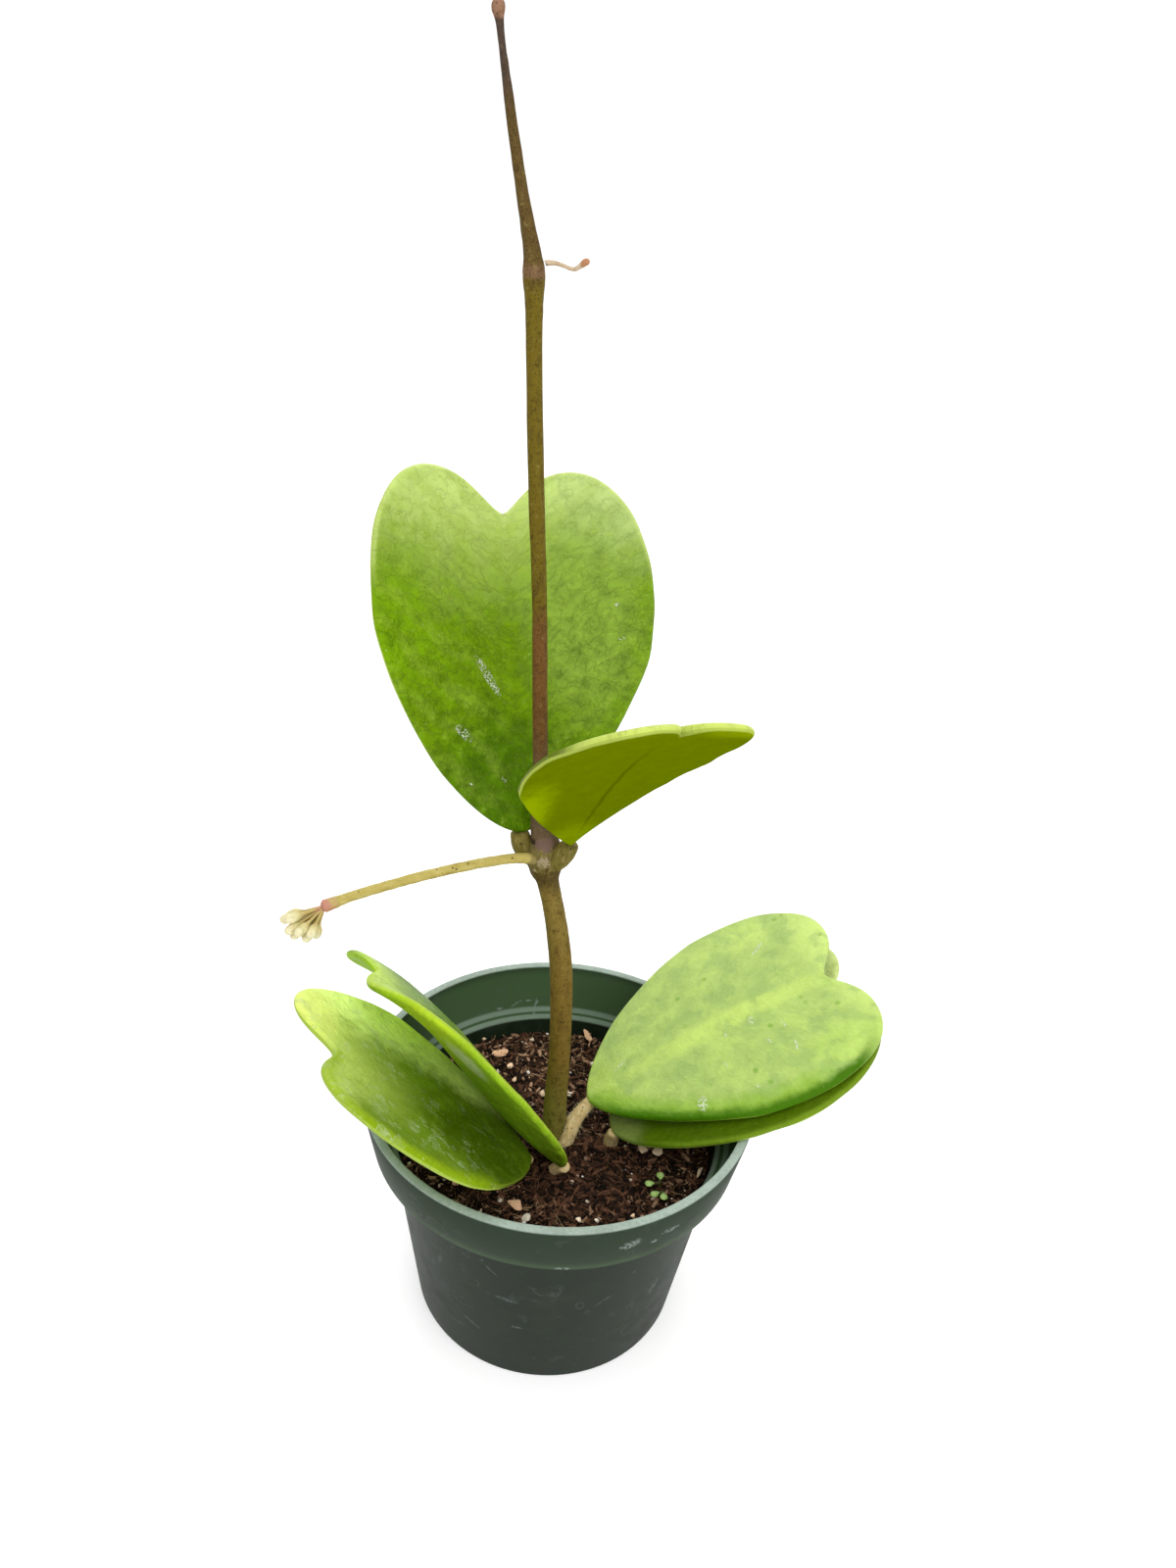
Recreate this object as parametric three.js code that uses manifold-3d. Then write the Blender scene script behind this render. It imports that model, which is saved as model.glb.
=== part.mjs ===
// Potted hoya: a nursery pot of potting mix, one tall leafless vine shoot with a leaf pair and a
// flower stalk half way up, and four thick heart-shaped leaves round its foot.
// Millimetres, +Z up, origin at the centre of the pot's underside.
import * as THREE from 'three';
import { mergeVertices } from 'three/addons/utils/BufferGeometryUtils.js';
import Module from 'manifold-3d';

const wasm = await Module();
wasm.setup();

// Driving dimensions of the pot and its filling
const POT_HEIGHT = 105;
const POT_TOP_RADIUS = 77;
const POT_BASE_RADIUS = 54.5;
const BODY_TOP_RADIUS = 66;
const BAND_FOOT_Z = 82.4;
const BAND_FOOT_RADIUS = 73.1;
const LIP_WIDTH = 3.6;
const WALL = 1.6;
const FLOOR = 2.2;
const DRAIN_COUNT = 8;
const DRAIN_RADIUS = 5;
const DRAIN_CIRCLE = 42;
const SOIL_LEVEL = 77;
const SOIL_SINK = 1.2;
const SOIL_SINK_FROM = 45;
const FOOT_CORNER = 1.4;
const CORNER = 0.9;
const LEDGE_FALL = 0.3;

// Clearance that touching pieces keep, and the blades' thickness
const GAP = 0.3;
const BLADE_THICKNESS = 3;
const EDGE_ROUND = 2.2;

// Facets
const POT_SEGMENTS = 64;
const SOIL_SEGMENTS = 40;
const SOIL_RINGS = 12;
const VINE_SIDES = 12;
const STALK_SIDES = 10;
const OUTLINE_STEPS = 9;

// The vine, as [x, y, z, radius] from below the soil to the swollen growing tip
const VINE = [
  [-0.4, -3, 46, 3.6],
  [-0.4, -3, 50, 4.6],
  [-0.5, -3, 77, 5.1],
  [-1.1, -3, 97, 4.7],
  [-0.6, -3, 117, 4.3],
  [-1.3, -3, 137, 4.3],
  [-2.3, -3, 159, 4.5],
  [-4.4, -3, 172, 4.3],
  [-6.5, -3, 185, 3.9],
  [-9.4, -2.4, 195.5, 4],
  [-10.2, -2.1, 199.3, 4.4],
  [-10.6, -2, 200.8, 5.8],
  [-11.3, -2, 204.5, 6.4],
  [-11.6, -2, 208.5, 5.8],
  [-11.6, -2, 212, 3.7],
  [-12, -2, 217, 3.2],
  [-13.5, -1.8, 228, 2.9],
  [-15.6, -1, 250, 2.65],
  [-17, 0, 275, 2.6],
  [-18.3, 1, 298, 2.5],
  [-20, 2, 317, 2.55],
  [-22.3, 3, 344, 2.6],
  [-24, 3, 369, 2.5],
  [-24.8, 2.6, 385, 2.55],
  [-25.1, 2.2, 391.5, 3],
  [-25.4, 2, 396.6, 3.7],
  [-25.9, 2, 400.8, 2.5],
  [-28.8, 1, 413, 1.9],
  [-31.6, 0, 426, 1.6],
  [-34.1, -1, 439, 1.4],
  [-35.9, -2, 449, 0.95],
  [-37, -2, 455.4, 1],
  [-37.3, -2, 457, 1.75],
  [-37.4, -2, 458.6, 2],
  [-37.5, -2, 460, 1.3],
];

// Leaf stalks, as [x, y, z, radius] from the stem or the soil to the foot of the blade
const PETIOLES = {
  upper_back: [
    [-13.5, -0.8, 204, 3], [-17.4, -0.6, 206.6, 2.9], [-19, -0.8, 210.5, 2.7], [-20, -0.7, 215.9, 2.3],
  ],
  upper_right: [
    [-9.6, -3, 204, 3], [-7.2, -4.4, 206.4, 3], [-5.4, -5.6, 210.8, 2.8], [-3.9, -6.4, 216.2, 2.3],
  ],
  lower_right_top: [
    [3.2, -5, 68, 2.4], [4.2, -4.8, 77, 3.3], [5.5, -3.9, 82, 3], [8, -1.9, 87.9, 2.4],
    [12.2, 0.5, 94.2, 2],
  ],
  lower_right_bottom: [[22.3, -3.2, 66, 2.2], [22.6, -3.4, 77, 2.5], [23.2, -6.5, 86.4, 2.1]],
  lower_left_outer: [[-13, -18, 66, 2.2], [-13, -18.8, 77, 2.4], [-10.1, -23.7, 85.6, 2.1]],
  lower_left_inner: [
    [0.6, -19.5, 64, 2], [0.9, -20.2, 75.5, 2.2], [2.4, -21.6, 79.4, 2.2], [4.4, -23.4, 82.2, 2],
  ],
};

// Outline of one half of a blade, in widths and lengths of the leaf: how high it is widest, how far
// out the lobe's top is, how deep the notch reaches, and how full its foot and shoulders are
const LEAF_OUTLINE = {
  widest: 0.63, lobe: 0.48, notch: 0.89, footOut: 0.38, footUp: 0.02,
  fullBelow: 0.26, fullAbove: 0.22, notchOut: 0.11, notchUp: 0.03,
};
const SHOULDER_FULLNESS = 0.6;
const BROW_FULLNESS = 0.45;
const FOLD_SOFTNESS = 0.02;

// Each blade starts at its foot and points along its azimuth and rise, rolled about its midrib.
// bend and tipBend arch it along the midrib, fold and cup raise its halves, foldTip folds it more or
// less towards the lobes, skew raises one half more, twist turns it along its length, and lobeBend
// and lobeSkew move its lobes alone, together or one more than the other.
const LEAVES = {
  upper_back: {
    foot: [-20, -0.5, 215.5], azimuth: 109.9, rise: 69.2, roll: 4.6, length: 125.1, width: 99.5,
    bend: -0.047, cup: 0.286, twist: -0.012, lean: 0.013, uneven: 0.018,
    outline: { widest: 0.64, lobe: 0.506, notch: 0.88, notchUp: 0.013 },
  },
  upper_right: {
    foot: [-3.5, -6.3, 215.8], azimuth: -67.9, rise: 54.1, roll: 11.8, length: 112.2, width: 61.4,
    bend: -0.061, tipBend: -0.094, fold: 0.031, skew: -0.022, twist: -0.275, lobeBend: -0.206,
    lean: -0.094, uneven: -0.047,
    outline: { widest: 0.616, lobe: 0.448, notch: 0.908, footOut: 0.311, footUp: 0.152, fullBelow: 0.22,
      fullAbove: 0.2, notchUp: 0.07 },
  },
  lower_right_top: {
    foot: [11.9, 0.4, 93.9], azimuth: 20.8, rise: 32.1, roll: 0.3, length: 119, width: 101.5,
    bend: -0.148, cup: -0.092, twist: 0.054, lean: 0.049, uneven: 0.031,
    outline: { widest: 0.65, lobe: 0.469, notch: 0.908, footUp: 0.03, notchOut: 0.129, notchUp: 0.012 },
  },
  lower_right_bottom: {
    foot: [22.5, -7.1, 85.8], azimuth: 27.2, rise: 30.8, roll: -8.5, length: 115.7, width: 91.9,
    bend: -0.124, cup: -0.028, skew: 0.047, twist: 0.03, lean: -0.019, uneven: 0.08,
    outline: { widest: 0.637, lobe: 0.465, notch: 0.867, footOut: 0.486, notchUp: 0.07 },
  },
  lower_left_outer: {
    foot: [-8.6, -24.6, 85.1], azimuth: 201, rise: 46.4, roll: -2, length: 109.8, width: 92.8,
    bend: -0.068, cup: 0.044, twist: 0.17, lean: 0.012,
    outline: { widest: 0.65, lobe: 0.466, notch: 0.91, footUp: 0.066, fullBelow: 0.228, fullAbove: 0.2,
      notchUp: -0.006 },
  },
  lower_left_inner: {
    foot: [3.8, -23.1, 82.5], azimuth: 174.2, rise: 34.6, roll: 38.6, length: 109.4, width: 76.2,
    bend: 0.371, tipBend: -0.207, fold: 0.484, foldTip: -0.716, cup: -0.163, skew: 0.067, twist: -0.245,
    lobeBend: 0.298, lobeSkew: 0.272, lean: -0.009, uneven: -0.067,
    outline: { widest: 0.598, lobe: 0.532, notch: 0.945, footOut: 0.453, footUp: -0.024, fullBelow: 0.232,
      fullAbove: 0.264, notchOut: 0.119, notchUp: 0.011 },
  },
};

// Flower stalk, as [x, y, z, radius] from the stem to the head of buds
const PEDUNCLE = [
  [-11.5, -5.2, 206.5, 2], [-17.2, -7.6, 209.4, 2], [-25.9, -10.6, 209.8, 1.85], [-40.5, -16, 208.4, 1.8],
  [-55, -22, 206.4, 1.8], [-66, -26.4, 204.2, 1.8], [-74, -29.6, 202.4, 1.8], [-79.6, -31.8, 200.7, 1.95],
];
const BUD_COUNT = 14;
const BUD_LENGTH = 15.4;
const BUD_RADIUS = 1.55;
const PEDICEL_RADIUS = 0.75;
const BUD_SPREAD = THREE.MathUtils.degToRad(36);
const BUD_HANG = 0.58;
const NECK = { length: 3, radius: 2.3, end: 1.2, step: 1.6 };
const BUD_SHORTER = 0.12;

// Undeveloped side shoot at the upper node
const SIDE_SHOOT = [
  [-25.2, 2, 398.6, 0.8], [-20, 2, 399.3, 0.75], [-17.1, 1.2, 398.8, 0.65], [-14.2, 0.2, 398.1, 0.65],
  [-12.4, -0.8, 399, 0.75], [-11.2, -1.6, 400.1, 1.1], [-10.3, -2, 400.6, 1], [-9.8, -2.2, 400.7, 0.4],
];

// Seedlings, by the place of their foot and their two seed leaves
const SEEDLINGS = {
  seedling_rear: { foot: [42, -25.6], leaves: [[42, -22.3, 80.2], [37.5, -26.9, 80]] },
  seedling_front: { foot: [43, -29.8], leaves: [[39.6, -32, 80], [43.2, -33.2, 80.2]] },
};
const SEED_LEAF_RADIUS = 1.9;
const SEED_LEAF_THICKNESS = 0.8;
const SEEDLING_STEM_RADIUS = 0.6;
const SEEDLING_HEIGHT = 2.6;
const SEEDLING_DEPTH = 6;
const SEEDLING_ROOM_HEIGHT = 4;

// Larger bits of bark and perlite that lie on the soil, as [x, y, half length, half width, turn]
const BARK = [
  [-26.3, 42.4, 4.8, 2.4, 10], [-12.6, -40.2, 3, 3.4, 60], [41.5, -8.8, 2.6, 1.9, 20],
  [35.6, -7.8, 2.8, 2, 130], [-52.1, 30.4, 3.4, 2.2, 40], [-55, -18.5, 2.8, 2.2, 75],
  [10.9, 59, 5, 1.4, 120], [22, 58.5, 2.4, 1.6, 60], [58, -16, 3.6, 1.2, 60], [-33, 10, 3.4, 1.8, 160],
  [27, 33, 3, 2, 35], [-36, -33, 2.8, 2, 100],
];
const PERLITE = [
  [-8, -45.8, 2.1], [18.2, -44.5, 1.6], [31.4, -41.7, 1.5], [11.3, -45.6, 1.5], [-22.1, 34.6, 1.9],
  [-13.9, 54.5, 1.4], [-6.9, 19.3, 2], [5, 21.3, 1.8], [-35.2, 52.5, 1.3], [-19.3, 27.5, 1.4],
  [40, 20, 1.5], [-45, 3, 1.4], [14, 41, 1.6], [-27, -20, 1.5],
];
const CRUMB_COUNT = 12;
const CRUMB_SEED = 7;
const CRUMB_INNER = 28;
const CRUMB_OUTER = 57;
const CRUMB_SIZES = [1, 2.4];
const BARK_THICKNESS = 1.5;
const LUMP_REACH = 5;
const LUMP_TILT = 0.25;
const LUMP_LIFT = 0.25;

const COLOURS = {
  pot: 0x3c4a3e, soil: 0x3a2a22, vine: 0x76693a, upper_back: 0x7db329, upper_right: 0x9aab2a, lower: 0x93bf45,
  petiole: 0xa39a6b, peduncle: 0xb9ad62, buds: 0xe6e2b8, shoot: 0xb5a77a, seedling: 0xb9e08a,
};

const hoya = new THREE.Group();

function add(name, geometry, colour, roughness) {
  const material = new THREE.MeshStandardMaterial({ color: colour, roughness, metalness: 0 });
  const mesh = new THREE.Mesh(geometry, material);
  mesh.name = name;
  hoya.add(mesh);
}

// Closed geometry to solid and back
function solidOf(geometry) {
  const bare = new THREE.BufferGeometry();
  bare.setAttribute('position', geometry.getAttribute('position'));
  bare.setIndex(geometry.getIndex());
  const merged = mergeVertices(bare, 1e-4);
  const index = merged.getIndex().array;
  const triVerts = [];
  for (let i = 0; i < index.length; i += 3) {
    const [a, b, c] = [index[i], index[i + 1], index[i + 2]];
    if (a !== b && b !== c && c !== a) triVerts.push(a, b, c);
  }
  const vertProperties = new Float32Array(merged.getAttribute('position').array);
  const mesh = new wasm.Mesh({ numProp: 3, vertProperties, triVerts: new Uint32Array(triVerts) });
  return new wasm.Manifold(mesh);
}

function geometryOf(solid) {
  const mesh = solid.getMesh();
  const geometry = new THREE.BufferGeometry();
  geometry.setAttribute('position', new THREE.BufferAttribute(mesh.vertProperties, 3));
  geometry.setIndex(new THREE.BufferAttribute(mesh.triVerts, 1));
  return geometry;
}

function geometryFrom(points, triangles) {
  const geometry = new THREE.BufferGeometry();
  geometry.setAttribute('position', new THREE.Float32BufferAttribute(points.flat(), 3));
  geometry.setIndex(triangles.flat());
  return geometry;
}

// A round stalk through [x, y, z, radius] stations, grown by an allowance, with closed ends
function stalk(stations, sides, stepsBetween, grow = 0) {
  const knots = stations.map(([x, y, z]) => new THREE.Vector3(x, y, z));
  const path = new THREE.CatmullRomCurve3(knots, false, 'centripetal');
  const last = stations.length - 1;
  const count = last * stepsBetween;
  const centres = [];
  const radii = [];
  for (let i = 0; i <= count; i += 1) {
    centres.push(path.getPoint(i / count));
    const k = Math.min(Math.floor(i / stepsBetween), last - 1);
    const f = THREE.MathUtils.smoothstep(i / stepsBetween - k, 0, 1);
    radii.push(THREE.MathUtils.lerp(stations[k][3], stations[k + 1][3], f) + grow);
  }
  const along = centres.map((_, i) => {
    const [before, after] = [centres[Math.max(i - 1, 0)], centres[Math.min(i + 1, count)]];
    return after.clone().sub(before).normalize();
  });
  centres[0].addScaledVector(along[0], -grow);
  centres[count].addScaledVector(along[count], grow);
  const side = new THREE.Vector3(0.3, 1, 0.2).cross(along[0]).normalize();
  const points = [];
  centres.forEach((centre, i) => {
    side.addScaledVector(along[i], -side.dot(along[i])).normalize();
    const other = along[i].clone().cross(side);
    for (let j = 0; j < sides; j += 1) {
      const angle = (2 * Math.PI * j) / sides;
      const point = centre.clone().addScaledVector(side, radii[i] * Math.cos(angle));
      points.push(point.addScaledVector(other, radii[i] * Math.sin(angle)).toArray());
    }
  });
  const start = points.push(centres[0].toArray()) - 1;
  const end = points.push(centres[count].toArray()) - 1;
  const triangles = [];
  for (let j = 0; j < sides; j += 1) {
    const k = (j + 1) % sides;
    for (let i = 0; i < count; i += 1) {
      const [a, b, c, d] = [i * sides + j, i * sides + k, (i + 1) * sides + k, (i + 1) * sides + j];
      triangles.push([a, b, c], [a, c, d]);
    }
    triangles.push([start, k, j], [end, count * sides + j, count * sides + k]);
  }
  return solidOf(geometryFrom(points, triangles));
}

// Half outline of a blade from its foot to its notch, in mm across and along
function halfOutline(leaf, sideSign) {
  const o = { ...LEAF_OUTLINE, ...leaf.outline };
  const lean = 1 + sideSign * (leaf.lean ?? 0);
  const v = (x, y) => new THREE.Vector2(x, y);
  const shoulder = o.lobe + (1 - o.lobe) * SHOULDER_FULLNESS;
  const brow = o.lobe * BROW_FULLNESS;
  const curves = [
    new THREE.CubicBezierCurve(v(0, 0), v(o.footOut, o.footUp), v(1, o.widest - o.fullBelow), v(1, o.widest)),
    new THREE.CubicBezierCurve(v(1, o.widest), v(1, o.widest + o.fullAbove), v(shoulder, 1), v(o.lobe, 1)),
    new THREE.CubicBezierCurve(v(o.lobe, 1), v(brow, 1), v(o.notchOut, o.notch + o.notchUp), v(0, o.notch)),
  ];
  const points = [];
  curves.forEach((curve, n) => {
    for (let i = n === 0 ? 0 : 1; i <= OUTLINE_STEPS; i += 1) {
      points.push(curve.getPoint(i / OUTLINE_STEPS));
    }
  });
  return points.map((p) => v(
    (sideSign * p.x * leaf.width * lean) / 2,
    p.y * leaf.length * (1 + sideSign * (leaf.uneven ?? 0) * p.x),
  ));
}

// Height of a blade's middle surface over its flat plan
function bladeHeight(leaf, x, y) {
  const t = y / leaf.length;
  const half = leaf.width / 2;
  const u = x / half;
  const { bend = 0, tipBend = 0, fold = 0, foldTip = 0, cup = 0 } = leaf;
  const { skew = 0, twist = 0, lobeBend = 0, lobeSkew = 0 } = leaf;
  const folded = Math.sqrt(u * u + FOLD_SOFTNESS) - Math.sqrt(FOLD_SOFTNESS);
  const across = (fold + foldTip * t * t) * folded + cup * u * u + skew * u ** 3 + twist * u * t;
  const lobes = lobeBend * u * u * t * t + lobeSkew * u ** 3 * t ** 3;
  return leaf.length * (bend * t * t + tipBend * t ** 4) + half * (across + lobes);
}

function leafAxes(leaf) {
  const [azimuth, rise, roll] = [leaf.azimuth, leaf.rise, leaf.roll].map(THREE.MathUtils.degToRad);
  const level = new THREE.Vector3(-Math.sin(azimuth), Math.cos(azimuth), 0);
  const ahead = new THREE.Vector3(Math.cos(azimuth), Math.sin(azimuth), 0);
  const heading = ahead.multiplyScalar(Math.cos(rise)).setZ(Math.sin(rise));
  const side = level.clone().applyAxisAngle(heading, roll);
  return { heading, side, up: heading.clone().cross(side) };
}

// Distances from the outline at which a blade's rings stand, the last few spread to the midrib
const EDGE_RINGS = [0, 0.35, 1.1, EDGE_ROUND];
const INNER_RINGS = [0.33, 0.66, 1];
const SLOPE_STEP = 0.4;

function blade(leaf) {
  const { heading, side, up } = leafAxes(leaf);
  const foot = new THREE.Vector3(...leaf.foot);
  const place = (x, y, lift) => {
    const slopeX = (bladeHeight(leaf, x + SLOPE_STEP, y) - bladeHeight(leaf, x, y)) / SLOPE_STEP;
    const slopeY = (bladeHeight(leaf, x, y + SLOPE_STEP) - bladeHeight(leaf, x, y)) / SLOPE_STEP;
    const normal = up.clone().addScaledVector(side, -slopeX).addScaledVector(heading, -slopeY).normalize();
    const point = foot.clone().addScaledVector(heading, y).addScaledVector(side, x);
    return point.addScaledVector(up, bladeHeight(leaf, x, y)).addScaledVector(normal, lift).toArray();
  };
  const points = [];
  const triangles = [];
  const notch = (leaf.outline.notch ?? LEAF_OUTLINE.notch) * leaf.length;
  for (const sideSign of [1, -1]) {
    const outline = halfOutline(leaf, sideSign);
    const count = outline.length;
    for (const faceSign of [1, -1]) {
      const first = points.length;
      outline.forEach((edge, i) => {
        const middle = new THREE.Vector2(0, (notch * i) / (count - 1));
        const spoke = middle.clone().sub(edge);
        const reach = spoke.length();
        const squeeze = Math.min(1, reach / (3 * EDGE_ROUND));
        const depths = EDGE_RINGS.map((d) => d * squeeze);
        const left = reach - depths[depths.length - 1];
        INNER_RINGS.forEach((f) => depths.push(depths[EDGE_RINGS.length - 1] + left * f));
        depths.forEach((depth) => {
          const at = edge.clone().addScaledVector(spoke, reach > 0 ? depth / reach : 0);
          const inward = 1 - Math.min(1, depth / EDGE_ROUND);
          const lift = (faceSign * BLADE_THICKNESS * Math.sqrt(1 - inward * inward)) / 2;
          points.push(place(at.x, at.y, lift));
        });
      });
      const rings = EDGE_RINGS.length + INNER_RINGS.length;
      for (let i = 0; i < count - 1; i += 1) {
        for (let j = 0; j < rings - 1; j += 1) {
          const a = first + i * rings + j;
          const quad = [a, a + rings, a + rings + 1, a + 1];
          if (sideSign * faceSign > 0) quad.reverse();
          triangles.push([quad[0], quad[1], quad[2]], [quad[0], quad[2], quad[3]]);
        }
      }
    }
  }
  return solidOf(geometryFrom(points, triangles));
}

// Random numbers in a fixed order
function seeded(seed) {
  let state = seed;
  return () => {
    state = (state * 16807) % 2147483647;
    return state / 2147483647;
  };
}

function potWallRadius(z) {
  const low = POT_BASE_RADIUS - WALL;
  return low + ((BODY_TOP_RADIUS - WALL - low) * (z - FLOOR)) / (BAND_FOOT_Z - FLOOR);
}

function makePot() {
  const ledge = BAND_FOOT_Z + WALL;
  const lipInner = POT_TOP_RADIUS - LIP_WIDTH;
  const bandInner = BAND_FOOT_RADIUS - LIP_WIDTH;
  const profile = [
    [0, 0], [POT_BASE_RADIUS - FOOT_CORNER, 0], [POT_BASE_RADIUS, FOOT_CORNER],
    [BODY_TOP_RADIUS, BAND_FOOT_Z - CORNER], [BODY_TOP_RADIUS + CORNER, BAND_FOOT_Z],
    [BAND_FOOT_RADIUS - CORNER, BAND_FOOT_Z], [BAND_FOOT_RADIUS, BAND_FOOT_Z + CORNER],
    [POT_TOP_RADIUS, POT_HEIGHT - CORNER], [POT_TOP_RADIUS - CORNER, POT_HEIGHT],
    [lipInner + CORNER, POT_HEIGHT], [lipInner, POT_HEIGHT - CORNER],
    [bandInner, ledge + CORNER], [bandInner - CORNER, ledge],
    [potWallRadius(ledge) + CORNER, ledge - LEDGE_FALL], [potWallRadius(BAND_FOOT_Z), ledge - CORNER],
    [potWallRadius(FLOOR + CORNER), FLOOR + CORNER], [potWallRadius(FLOOR) - CORNER, FLOOR], [0, FLOOR],
  ];
  const lathe = new THREE.LatheGeometry(profile.map(([r, z]) => new THREE.Vector2(r, z)), POT_SEGMENTS);
  lathe.rotateX(Math.PI / 2);
  let pot = solidOf(lathe);
  for (let i = 0; i < DRAIN_COUNT; i += 1) {
    const angle = (2 * Math.PI * (i + 0.5)) / DRAIN_COUNT;
    const hole = new THREE.CylinderGeometry(DRAIN_RADIUS, DRAIN_RADIUS, 3 * FLOOR, 16);
    hole.rotateX(Math.PI / 2);
    hole.translate(DRAIN_CIRCLE * Math.cos(angle), DRAIN_CIRCLE * Math.sin(angle), FLOOR / 2);
    pot = pot.subtract(solidOf(hole));
  }
  return pot;
}

// The soil's crumbly surface: slow swells, dips and finer crumbs, each as its height and the lengths of
// its waves, sinking a little towards the wall
const SWELL = { height: 0.7, x: 13, y: 11 };
const DIP = { height: 0.5, x: 6.1, y: 7.3 };
const CRUMB = { height: 0.35, x: 2.3, y: 1.9 };
function soilHeight(x, y) {
  const swell = SWELL.height * Math.sin(x / SWELL.x + 1) * Math.cos(y / SWELL.y);
  const dip = DIP.height * Math.sin(x / DIP.x - y / DIP.y);
  const crumb = CRUMB.height * Math.sin((x + y) / CRUMB.x) * Math.sin((y - x) / CRUMB.y);
  const edge = Math.max(0, Math.hypot(x, y) - SOIL_SINK_FROM) / (BODY_TOP_RADIUS - SOIL_SINK_FROM);
  return SOIL_LEVEL + swell + dip + crumb - SOIL_SINK * edge * edge;
}

function makeSoilBody() {
  const low = FLOOR + GAP;
  const radius = potWallRadius(SOIL_LEVEL - SOIL_SINK) * Math.cos(Math.PI / POT_SEGMENTS) - GAP;
  const points = [[0, 0, soilHeight(0, 0)]];
  for (let i = 1; i <= SOIL_RINGS; i += 1) {
    for (let j = 0; j < SOIL_SEGMENTS; j += 1) {
      const angle = (2 * Math.PI * j) / SOIL_SEGMENTS;
      const r = (radius * i) / SOIL_RINGS;
      const [x, y] = [r * Math.cos(angle), r * Math.sin(angle)];
      points.push([x, y, i === SOIL_RINGS ? SOIL_LEVEL - SOIL_SINK : soilHeight(x, y)]);
    }
  }
  const ring = (i) => 1 + (i - 1) * SOIL_SEGMENTS;
  for (let j = 0; j < SOIL_SEGMENTS; j += 1) {
    const angle = (2 * Math.PI * j) / SOIL_SEGMENTS;
    const r = potWallRadius(low) - GAP - FOOT_CORNER;
    points.push([r * Math.cos(angle), r * Math.sin(angle), low]);
  }
  const bottom = points.push([0, 0, low]) - 1;
  const triangles = [];
  for (let j = 0; j < SOIL_SEGMENTS; j += 1) {
    const k = (j + 1) % SOIL_SEGMENTS;
    triangles.push([0, ring(1) + j, ring(1) + k]);
    for (let i = 1; i <= SOIL_RINGS; i += 1) {
      const [a, b, c, d] = [ring(i) + j, ring(i) + k, ring(i + 1) + k, ring(i + 1) + j];
      triangles.push([a, d, c], [a, c, b]);
    }
    triangles.push([ring(SOIL_RINGS + 1) + j, bottom, ring(SOIL_RINGS + 1) + k]);
  }
  return solidOf(geometryFrom(points, triangles));
}

// A rough lump, more than half sunk in the soil
function lump(x, y, sizes, turn) {
  const rock = new THREE.IcosahedronGeometry(1);
  rock.scale(...sizes);
  rock.rotateX(LUMP_TILT);
  rock.rotateZ(THREE.MathUtils.degToRad(turn));
  rock.translate(x, y, soilHeight(x, y) + sizes[2] * LUMP_LIFT);
  return solidOf(rock);
}

// The room above the soil that lumps may fill, kept clear of the pot's wall
function roomInPot() {
  const [low, high] = [SOIL_LEVEL - LUMP_REACH, SOIL_LEVEL + LUMP_REACH];
  const [lowRadius, highRadius] = [low, high].map((z) => potWallRadius(Math.min(z, BAND_FOOT_Z)) - GAP);
  const profile = [[0, low], [lowRadius, low], [highRadius, high], [0, high]];
  const room = new THREE.LatheGeometry(profile.map(([r, z]) => new THREE.Vector2(r, z)), POT_SEGMENTS);
  room.rotateX(Math.PI / 2);
  return solidOf(room);
}

function makeSoil(stems) {
  const random = seeded(CRUMB_SEED);
  const lumps = BARK.map(([x, y, length, width, turn]) => (
    lump(x, y, [length, width, BARK_THICKNESS], turn)
  ));
  PERLITE.forEach(([x, y, size]) => lumps.push(lump(x, y, [size, size * 0.9, size * 0.8], 30 * size)));
  for (let i = 0; i < CRUMB_COUNT; i += 1) {
    const angle = 2 * Math.PI * random();
    const r = CRUMB_INNER + (CRUMB_OUTER - CRUMB_INNER) * Math.sqrt(random());
    const size = THREE.MathUtils.lerp(...CRUMB_SIZES, random());
    const sizes = [size * 1.5, size, size * 0.8];
    lumps.push(lump(r * Math.cos(angle), r * Math.sin(angle), sizes, 360 * random()));
  }
  const room = roomInPot();
  let soil = makeSoilBody();
  lumps.forEach((piece) => { soil = soil.add(piece.intersect(room)); });
  stems.forEach((stem) => { soil = soil.subtract(stem); });
  return soil;
}

// Seedling: a hair-thin stem and two round seed leaves on it
function makeSeedling({ foot, leaves }) {
  const [x, y] = foot;
  const crown = [x, y, SOIL_LEVEL + SEEDLING_HEIGHT];
  const root = [x, y, SOIL_LEVEL - SEEDLING_DEPTH];
  let plant = stalk([[...root, SEEDLING_STEM_RADIUS], [...crown, SEEDLING_STEM_RADIUS]], 6, 2);
  leaves.forEach((leaf) => {
    plant = plant.add(stalk([[...crown, SEEDLING_STEM_RADIUS], [...leaf, SEEDLING_STEM_RADIUS * 0.8]], 6, 1));
    const disc = new THREE.CylinderGeometry(SEED_LEAF_RADIUS, SEED_LEAF_RADIUS * 0.8, SEED_LEAF_THICKNESS, 9);
    disc.rotateX(Math.PI / 2);
    disc.translate(leaf[0], leaf[1], leaf[2]);
    plant = plant.add(solidOf(disc));
  });
  return plant;
}

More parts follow.
